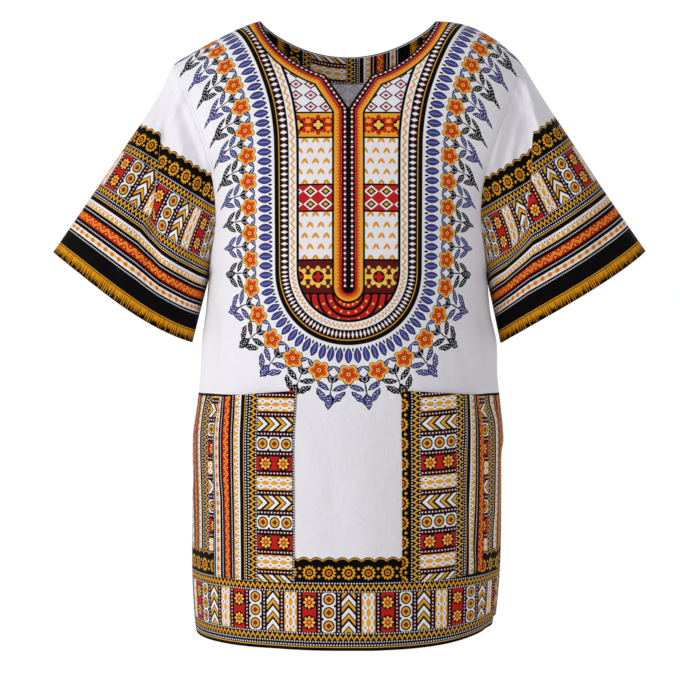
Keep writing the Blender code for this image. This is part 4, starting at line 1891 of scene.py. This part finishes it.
@dataclass
class SleeveSheet:
    """One short sleeve, a tube from the armhole to the cuff."""

    form: WornForm
    side: Side
    turns: int = 216
    reaches: int = 100
    hem_turn: float = 0.013
    fold_fade: float = 0.12
    fold_softness: float = 0.030
    fold_widths: dict[Side, float] = by_side(0.022, 0.030)
    fold_lines: dict[Side, Rows] = by_side(
        (
            (-0.200, -0.040), (-0.2135, -0.084), (-0.2294, -0.147),
            (-0.2403, -0.266), (-0.2501, -0.373), (-0.2540, -0.430),
        ),
        (
            (0.206, -0.040), (0.2147, -0.085), (0.2257, -0.139),
            (0.2220, -0.202), (0.2086, -0.300), (0.1950, -0.430),
        ),
    )
    stretches: dict[Side, tuple[float, float]] = by_side((0.02, 0.10), (0.065, 0.065))

    def __post_init__(self) -> None:
        """Lay out the sleeve's grid, its surface and its flat-cloth places."""
        turn = np.linspace(-0.5, 0.5, self.turns + 1)
        share = np.linspace(0.0, 1.0, self.reaches + 1)
        reach_grid, turn_grid = np.meshgrid(share, turn, indexing="ij")
        form = self.form
        plain = form.sleeve(self.side, turn_grid, reach_grid, folded=False)
        around = arc_lengths(plain, 1)
        around = around - around[:, self.turns // 2 : self.turns // 2 + 1]
        down = arc_lengths(plain, 0)
        low, high = self.stretches[self.side]
        stretch = mix(low, high, smooth_step(np.abs(turn_grid) / 0.35))
        self.flat = np.stack([around, (down[-1:] - down) * (1.0 - stretch)], axis=-1)
        points = form.sleeve(self.side, turn_grid, reach_grid)
        self.fold = self.fold_places(points, turn_grid)
        outward = form.sleeve_normal(self.side, turn_grid, reach_grid)
        face_y = np.where(turn_grid >= 0.0, -1.0, 1.0)
        at_seam = reach_grid <= 0.0
        seam_way = form.armhole_outward(
            np.full_like(turn_grid, float(self.side.value)), face_y, 2.0 * np.abs(turn_grid)
        )
        outward = np.where(at_seam[..., None], seam_way, outward)
        points = points - outward * seam_dip(down)[..., None]
        axis = form.armhole_axis(float(self.side.value))
        points = points + np.where(at_seam[..., None], axis, 0.0) * SEAM_GAP
        self.outer, self.outward = points[:, :-1], outward[:, :-1]
        self.swatch = Swatch(self.outer, self.outward, self.flat)

    def fold_places(self, points: Array, turn: Array) -> Array:
        """Return each point's place beyond the sleeve's main fold, and the cloth hidden in it.

        Args:
            points: The sleeve's surface.
            turn: The points' turns round the sleeve.

        Returns:
            The distance beyond the fold as a share of its softness, which grows towards the
            cuff, in thousandths, and the width of the hidden cloth.
        """
        seen = points[..., [0, 2]]
        beyond = path_frame(seen, np.array(self.fold_lines[self.side]))[..., 1] * self.side.value
        beyond = np.where(turn > 0.0, beyond, -0.05)
        up = self.flat[..., 1]
        softness = mix(self.fold_softness, 0.0008, smooth_step((up - 0.070) / 0.050))
        hidden = self.fold_widths[self.side] * smooth_step(up / self.fold_fade)
        return np.stack([beyond / softness / MM, hidden], axis=-1)

    def build(self, materials: Sequence[Material]) -> None:
        """Args:
            materials: Right-side and wrong-side finishes.
        """
        name = "sleeve_" + self.side.name.lower()
        thickness = mix(CLOTH, TURNED_CLOTH, turned_in(self.hem_turn - self.flat[:, :-1, 1]))
        inner = self.outer - self.outward * thickness[..., None]
        zones = np.zeros((self.reaches, self.turns), int)
        maps = {"cloth": self.flat, "fold": self.fold}
        shell = Shell(name + "_cloth", self.outer, inner, maps, zones, wrap=True)
        declare_sheet(shell.build(materials), name, SLEEVE_CUT)

    def cuff_stitches(self) -> list[Array]:
        """Return the line of stitches over the turned cuff."""
        return self.swatch.level_line(0.002, self.hem_turn - HEM_STITCH, 0.003)


@dataclass
class PocketSheet:
    """One patch pocket laid on the front, open at its top edge."""

    form: WornForm
    side: Side
    inner_column: float = 0.190
    outer_column: float = 0.613
    top_inner: float = -0.457
    top_outer: float = -0.467
    bottom: float = -0.680
    stand_off: float = 0.0004
    gape: float = 0.0034
    across_steps: int = 52
    down_steps: int = 92

    def __post_init__(self) -> None:
        """Lay out the pocket's grid over the front panel."""
        form = self.form
        across = np.linspace(0.0, 1.0, self.across_steps + 1)
        down = np.linspace(0.0, 1.0, self.down_steps + 1)
        down_grid, across_grid = np.meshgrid(down, across, indexing="ij")
        column = self.side.value * mix(self.inner_column, self.outer_column, across_grid)
        top = mix(self.top_inner, self.top_outer, across_grid)
        row = form.row_at(mix(top, self.bottom, down_grid))
        self.outward = form.panel_normal(Face.FRONT, column, row)
        bulge = np.sin(np.pi * across_grid)
        gape = self.gape * bulge * (1.0 - smooth_step(3.0 * down_grid))
        belly = 0.0012 * bulge * np.sin(np.pi * np.minimum(down_grid * 1.1, 1.0))
        to_side = np.minimum(across_grid, 1.0 - across_grid)
        edge = np.minimum(to_side * 0.11, (1.0 - down_grid) * 0.22)
        rounding = seam_dip(edge, 0.0018, 0.0004)
        self.lift = self.stand_off + gape + belly
        base = form.panel(Face.FRONT, column, row)
        self.inner = base + self.outward * self.lift[..., None]
        self.outer = self.inner + self.outward * (CLOTH - rounding)[..., None]
        plain = form.unfolded(Face.FRONT, column, row)
        start = self.side.value * self.centre_distance()
        along = arc_lengths(plain, 1) * self.side.value + start
        fall = arc_lengths(plain, 0)
        self.flat = np.stack([along, fall[-1:] - fall], axis=-1)
        self.swatch = Swatch(self.outer, self.outward, self.flat)

    def centre_distance(self) -> float:
        """Return how far the pocket's inner edge is from the middle line, along the cloth.

        Returns:
            The distance.
        """
        column = np.linspace(0.0, self.inner_column, 20)[None, :]
        row = np.full_like(column, 1.5)
        return float(arc_lengths(self.form.unfolded(Face.FRONT, column, row), 1)[0, -1])

    def build(self, materials: Sequence[Material]) -> None:
        """Args:
            materials: Right-side and wrong-side finishes.
        """
        name = "pocket_" + self.side.name.lower()
        zones = np.zeros((self.down_steps, self.across_steps), int)
        shell = Shell(name + "_cloth", self.outer, self.inner, {"cloth": self.flat}, zones)
        declare_sheet(shell.build(materials), name, POCKET_CUT)

    def stitches(self) -> list[Array]:
        """Return the stitching along the pocket's edges and under its mouth.

        Returns:
            One path for the edges and one for the mouth.
        """
        inset, mouth = 0.0022, 0.014
        inner, outer = self.flat[0, 0, 0], self.flat[0, -1, 0]
        way = math.copysign(inset, outer - inner)
        start, end = inner + way, outer - way
        top_in, top_out = self.flat[0, 0, 1], self.flat[0, -1, 1]
        edge = np.array([[start, top_in], [start, inset], [end, inset], [end, top_out]])
        under = np.array([[start, top_in - mouth], [end, top_out - mouth]])
        return [self.swatch.lifted(evened(path, 0.003), STITCH_LIFT) for path in (edge, under)]


@dataclass
class FacingSheet:
    """The printed facing inside the back of the neck."""

    form: WornForm
    width: float = 0.036
    stand_off: float = 0.0018
    across_steps: int = 112
    down_steps: int = 16

    def build(self, materials: Sequence[Material]) -> None:
        """Args:
            materials: Right-side and wrong-side finishes.
        """
        form = self.form
        limit = form.neck_x / form.tip_x
        column = np.linspace(-limit, limit, self.across_steps + 1)
        fine = np.linspace(0.0, 0.5, 240)
        fine_row, fine_column = np.meshgrid(fine, column, indexing="ij")
        fall = arc_lengths(form.unfolded(Face.BACK, fine_column, fine_row), 0)
        down = np.linspace(0.0, self.width, self.down_steps + 1)
        row = np.stack([np.interp(down, part, fine) for part in fall.T], axis=1)
        column_grid = np.broadcast_to(column, row.shape)
        outward = form.panel_normal(Face.BACK, column_grid, row)
        outward[:, [0, -1]] = unit(outward[:, [0, -1]] * np.array([1.0, 0.0, 1.0]))
        surface = form.panel(Face.BACK, column_grid, row)
        near = surface - outward * self.stand_off
        far = near - outward * CLOTH
        edge = arc_lengths(near, 1)
        along = edge - edge[:, -1:] / 2.0
        flat = np.stack([along, np.broadcast_to(down[:, None], row.shape)], axis=-1)
        zones = np.zeros((self.down_steps, self.across_steps), int)
        shell = Shell("neck_facing_cloth", near, far, {"cloth": flat}, zones)
        piece = shell.build(materials[::-1])
        declare_sheet(piece, "neck_facing", FACING_CUT)


class Cut(NamedTuple):
    """A piece's flat pattern: the width and length it is cut from, and its own area."""

    width: float
    length: float
    area: Optional[float] = None


PANEL_CUTS = {Face.FRONT: Cut(0.640, 0.835, 0.385), Face.BACK: Cut(0.600, 0.835, 0.370)}
SLEEVE_CUT = Cut(0.520, 0.300, 0.109)
POCKET_CUT = Cut(0.118, 0.222)
FACING_CUT = Cut(0.250, 0.036)
STITCH_LIFT = 0.00005
HEM_STITCH = 0.001
NECK_STITCH = 0.0032
ARMHOLE_STITCH = 0.0035


def declare_sheet(
    piece: Object, node: str, cut: Cut
) -> None:
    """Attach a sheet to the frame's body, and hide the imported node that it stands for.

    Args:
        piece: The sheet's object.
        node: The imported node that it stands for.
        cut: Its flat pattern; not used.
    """
    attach(piece, BODY)
    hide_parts(node)
    LOG.info("%s: %d faces", piece.name, len(piece.data.polygons))


@dataclass
class StitchSetter:
    """Machine stitches set along paths by one Geometry Nodes tree."""

    pitch: float = 0.0031
    length: float = 0.0024
    radius: float = 0.00032

    def tree(self, thread: Material) -> NodeTree:
        """Build the tree that sets one stitch at every step of a path.

        Args:
            thread: The thread's finish.

        Returns:
            The Geometry Nodes tree.
        """
        tree = bpy.data.node_groups.new("stitch_line", "GeometryNodeTree")
        sockets = tree.interface
        sockets.new_socket("Path", in_out="INPUT", socket_type="NodeSocketGeometry")
        for name in ("Pitch", "Length", "Radius"):
            sockets.new_socket(name, in_out="INPUT", socket_type="NodeSocketFloat")
        sockets.new_socket("Stitches", in_out="OUTPUT", socket_type="NodeSocketGeometry")
        graph = Graph(tree)
        source = graph.node("NodeGroupInput").outputs
        curve = graph.node("GeometryNodeMeshToCurve", {}, {"Mesh": source["Path"]})
        inputs = {"Curve": curve.outputs[0], "Length": source["Pitch"]}
        even = graph.node("GeometryNodeResampleCurve", {"mode": "LENGTH"}, inputs)
        inputs = {"Segments": 6, "Rings": 4, "Radius": 1.0}
        ball = graph.node("GeometryNodeMeshUVSphere", {}, inputs)
        half = graph.math("MULTIPLY", source["Length"], 0.5)
        inputs = {0: source["Radius"], 1: source["Radius"], 2: half}
        size = graph.node("ShaderNodeCombineXYZ", {}, inputs)
        tangent = graph.node("GeometryNodeInputTangent").outputs[0]
        align = graph.node("FunctionNodeAlignRotationToVector", {"axis": "Z"}, {"Vector": tangent})
        inputs = {"Points": even, "Instance": ball, "Rotation": align, "Scale": size}
        inputs = {name: node.outputs[0] for name, node in inputs.items()}
        place = graph.node("GeometryNodeInstanceOnPoints", {}, inputs)
        real = graph.node("GeometryNodeRealizeInstances", {}, {"Geometry": place.outputs[0]})
        inputs = {"Geometry": real.outputs[0], "Material": thread}
        sewn = graph.node("GeometryNodeSetMaterial", {}, inputs)
        graph.node("NodeGroupOutput", {}, {"Stitches": sewn.outputs[0]})
        return tree

    def sew(self, name: str, paths: Sequence[Array], thread: Material, slot: str) -> None:
        """Set stitches along paths, as one piece.

        Args:
            name: The piece's name.
            paths: Points of each line of stitches.
            thread: The thread's finish.
            slot: The material slot of the cloth that is sewn; not used.
        """
        mesh = bpy.data.meshes.new(name + "_path")
        points, edges = [], []
        for path in paths:
            first = len(points)
            points.extend(path.tolist())
            edges.extend((first + step, first + step + 1) for step in range(len(path) - 1))
        mesh.from_pydata(points, edges, [])
        guide = placed(name + "_path", mesh)
        modifier = guide.modifiers.new("stitches", "NODES")
        tree = self.tree(thread)
        modifier.node_group = tree
        sizes = {"Pitch": self.pitch, "Length": self.length, "Radius": self.radius}
        for item in tree.interface.items_tree:
            if item.name in sizes:
                modifier[item.identifier] = sizes[item.name]
        bpy.context.view_layer.update()
        evaluated = guide.evaluated_get(bpy.context.evaluated_depsgraph_get())
        stitches = bpy.data.meshes.new_from_object(evaluated)
        bpy.data.objects.remove(guide, do_unlink=True)
        piece = placed(name, stitches)
        stitches.shade_smooth()
        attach(piece, BODY)
        LOG.info("%s: %d faces", name, len(stitches.polygons))


@dataclass
class Studio:
    """The pale floor, the soft lights and the camera."""

    floor_height: float = -1.35
    floor_size: float = 5.6
    camera_place: tuple[float, float, float] = (-0.010, -2.5, -0.3975)
    sensor: float = 36.0
    view_width: float = 0.85
    wall_light: float = 1.02
    room_light: float = 0.35
    right_shade: float = 0.45

    def build(self) -> None:
        """Build the studio round the shirt."""
        self.build_floor()
        self.build_world()
        self.add_light("key", (-2.5, -1.8, 1.0), (0.0, 0.0, -0.35), 1.5, 41.0)
        self.add_light("fill", (2.4, -2.4, 0.2), (0.0, 0.0, -0.40), 2.6, 2.0)
        self.add_light("back", (1.4, 2.6, 1.4), (0.0, 0.0, -0.30), 1.8, 26.0)
        self.build_camera()

    def build_floor(self) -> None:
        """Build the floor, a wide pale sheet far below the shirt."""
        half = self.floor_size / 2.0
        mesh = bpy.data.meshes.new("floor")
        square = ((-half, -half), (half, -half), (half, half), (-half, half))
        mesh.from_pydata([(x, y, self.floor_height) for x, y in square], [], [(0, 1, 2, 3)])
        material, graph = new_material("floor_paint")
        place = graph.node("ShaderNodeTexCoord").outputs["Object"]
        noise = graph.node("ShaderNodeTexNoise", {}, {"Vector": place, "Scale": 1.5})
        tone = graph.num(noise.outputs[0]) * 0.02 + 0.90
        shade = graph.node("ShaderNodeCombineColor", {}, {index: tone for index in range(3)})
        graph.feed(graph.shader.inputs["Base Color"], shade.outputs[0])
        graph.shader.inputs["Roughness"].default_value = 0.9
        mesh.materials.append(material)
        floor = placed("floor", mesh)

    def build_world(self) -> None:
        """Light the room, with a white wall all round that is in shade on the right."""
        world = bpy.data.worlds.new("studio")
        world.use_nodes = True
        graph = Graph(world.node_tree)
        right, beyond, rise = graph.parts(graph.node("ShaderNodeTexCoord").outputs["Generated"])
        wall = graph.math("MULTIPLY_ADD", abs(rise), -4.0, 1.8, clamp=True)
        shaded = graph.math("MULTIPLY_ADD", right - beyond * 0.4, 1.5, -0.45, clamp=True)
        wall = wall * (shaded * -self.right_shade + 1.0)
        light = wall * (self.wall_light - self.room_light) + self.room_light
        background = world.node_tree.nodes["Background"]
        graph.feed(background.inputs["Strength"], light)
        graph.feed(background.inputs["Color"], (1.0, 1.0, 1.0))
        bpy.context.scene.world = world
        bpy.context.scene.view_settings.view_transform = "Standard"

    @staticmethod
    def add_light(
        name: str, place: Sequence[float], aim: Sequence[float], size: float, power: float
    ) -> None:
        """Add one soft box.

        Args:
            name: The light's name.
            place: Where it stands.
            aim: The point that it faces.
            size: The length of its sides.
            power: Its power in watts.
        """
        data = bpy.data.lights.new(name, "AREA")
        data.size = size
        data.energy = power
        light = placed(name, data)
        light.location = place
        light.rotation_euler = (Vector(aim) - Vector(place)).to_track_quat("-Z", "Y").to_euler()

    def build_camera(self) -> None:
        """Set the camera straight in front of the shirt."""
        data = bpy.data.cameras.new("camera")
        data.sensor_width = self.sensor
        data.lens = self.sensor * -self.camera_place[1] / self.view_width
        camera = placed("camera", data)
        camera.location = self.camera_place
        camera.rotation_euler = (math.pi / 2.0, 0.0, 0.0)
        bpy.context.scene.camera = camera


@dataclass
class Dashiki:
    """The whole shirt."""

    form: WornForm = field(default_factory=WornForm)

    def build(self) -> None:
        """Cut and place every sheet, then sew the stitches."""
        self.prints = PrintRoom()
        panels = {face: PanelSheet(self.form, face) for face in Face}
        for face, panel in panels.items():
            panel.build(self.panel_finishes(face.name.lower(), panel))
        sleeves = [SleeveSheet(self.form, side) for side in Side]
        sleeve_cotton = self.both_sides("sleeve_print", border=BorderWay.ACROSS, tucked=True)
        for sleeve in sleeves:
            sleeve.build(sleeve_cotton)
        pockets = [PocketSheet(self.form, side) for side in Side]
        outer_edge = float(np.abs(pockets[0].flat[0, :, 0]).max()) * MM
        for pocket in pockets:
            name = "pocket_" + pocket.side.name.lower() + "_print"
            upright = {"border_side": outer_edge, "border_shift": POCKET_SHIFTS[pocket.side]}
            pocket.build(self.both_sides(name, border=BorderWay.UPRIGHT, **upright))
        turned_border = {"border": BorderWay.TURNED, "border_shift": FACING_SHIFT}
        FacingSheet(self.form).build(self.both_sides("facing_print", **turned_border))
        self.sew(panels, sleeves, pockets)

    def both_sides(self, name: str, **settings: Any) -> list[Material]:
        """Return a print's right-side and wrong-side finishes."""
        wrong = CottonPrint(name + "_wrong_side", wrong_side=True, **settings)
        return [cotton.make(self.prints) for cotton in (CottonPrint(name, **settings), wrong)]

    def panel_finishes(self, name: str, panel: PanelSheet) -> list[Material]:
        """Return a panel's finishes: yoke and lower part, right and wrong side each.

        Args:
            name: The panel's name.
            panel: Its sheet.

        Returns:
            The four materials.
        """
        side_seam = float(panel.flat[-1, -1, 0]) * MM
        sizes = {"top_height": panel.top_length * MM, "side_seam": side_seam}
        yoke = self.both_sides(name + "_yoke_print", yoke=True, **sizes)
        sizes.update(border=BorderWay.ACROSS, border_shift=HEM_SHIFT, sides=True)
        return yoke + self.both_sides(name + "_hem_print", **sizes)

    @staticmethod
    def sew(
        panels: dict[Face, PanelSheet],
        sleeves: Sequence[SleeveSheet],
        pockets: Sequence[PocketSheet],
    ) -> None:
        """Sew the visible stitches.

        Args:
            panels: The front and the back.
            sleeves: Both sleeves.
            pockets: Both pockets.
        """
        setter = StitchSetter()
        black = ThreadFinish("black_thread", ink_colour(30, 26, 26)).make()
        cream = ThreadFinish("cream_thread", ink_colour(238, 232, 226)).make()
        amber = ThreadFinish("amber_thread", ink_colour(206, 140, 30)).make()
        for face, panel in panels.items():
            name = face.name.lower()
            slot = name + "_cotton"
            setter.sew(name + "_neck_stitches", panel.neck_stitches(), black, slot)
            setter.sew(name + "_hem_stitches", panel.hem_stitches(), black, slot)
            setter.sew(name + "_armhole_stitches", panel.armhole_stitches(), cream, slot)
        for sleeve in sleeves:
            name = "sleeve_" + sleeve.side.name.lower()
            setter.sew(name + "_stitches", sleeve.cuff_stitches(), amber, name + "_cotton")
        for pocket in pockets:
            name = "pocket_" + pocket.side.name.lower()
            setter.sew(name + "_stitches", pocket.stitches(), black, name + "_cotton")


def main() -> None:
    """Build the studio and the shirt."""
    logging.basicConfig(level=logging.INFO, format="%(name)s: %(message)s")
    Studio().build()
    Dashiki().build()


if __name__ == "__main__":
    main()
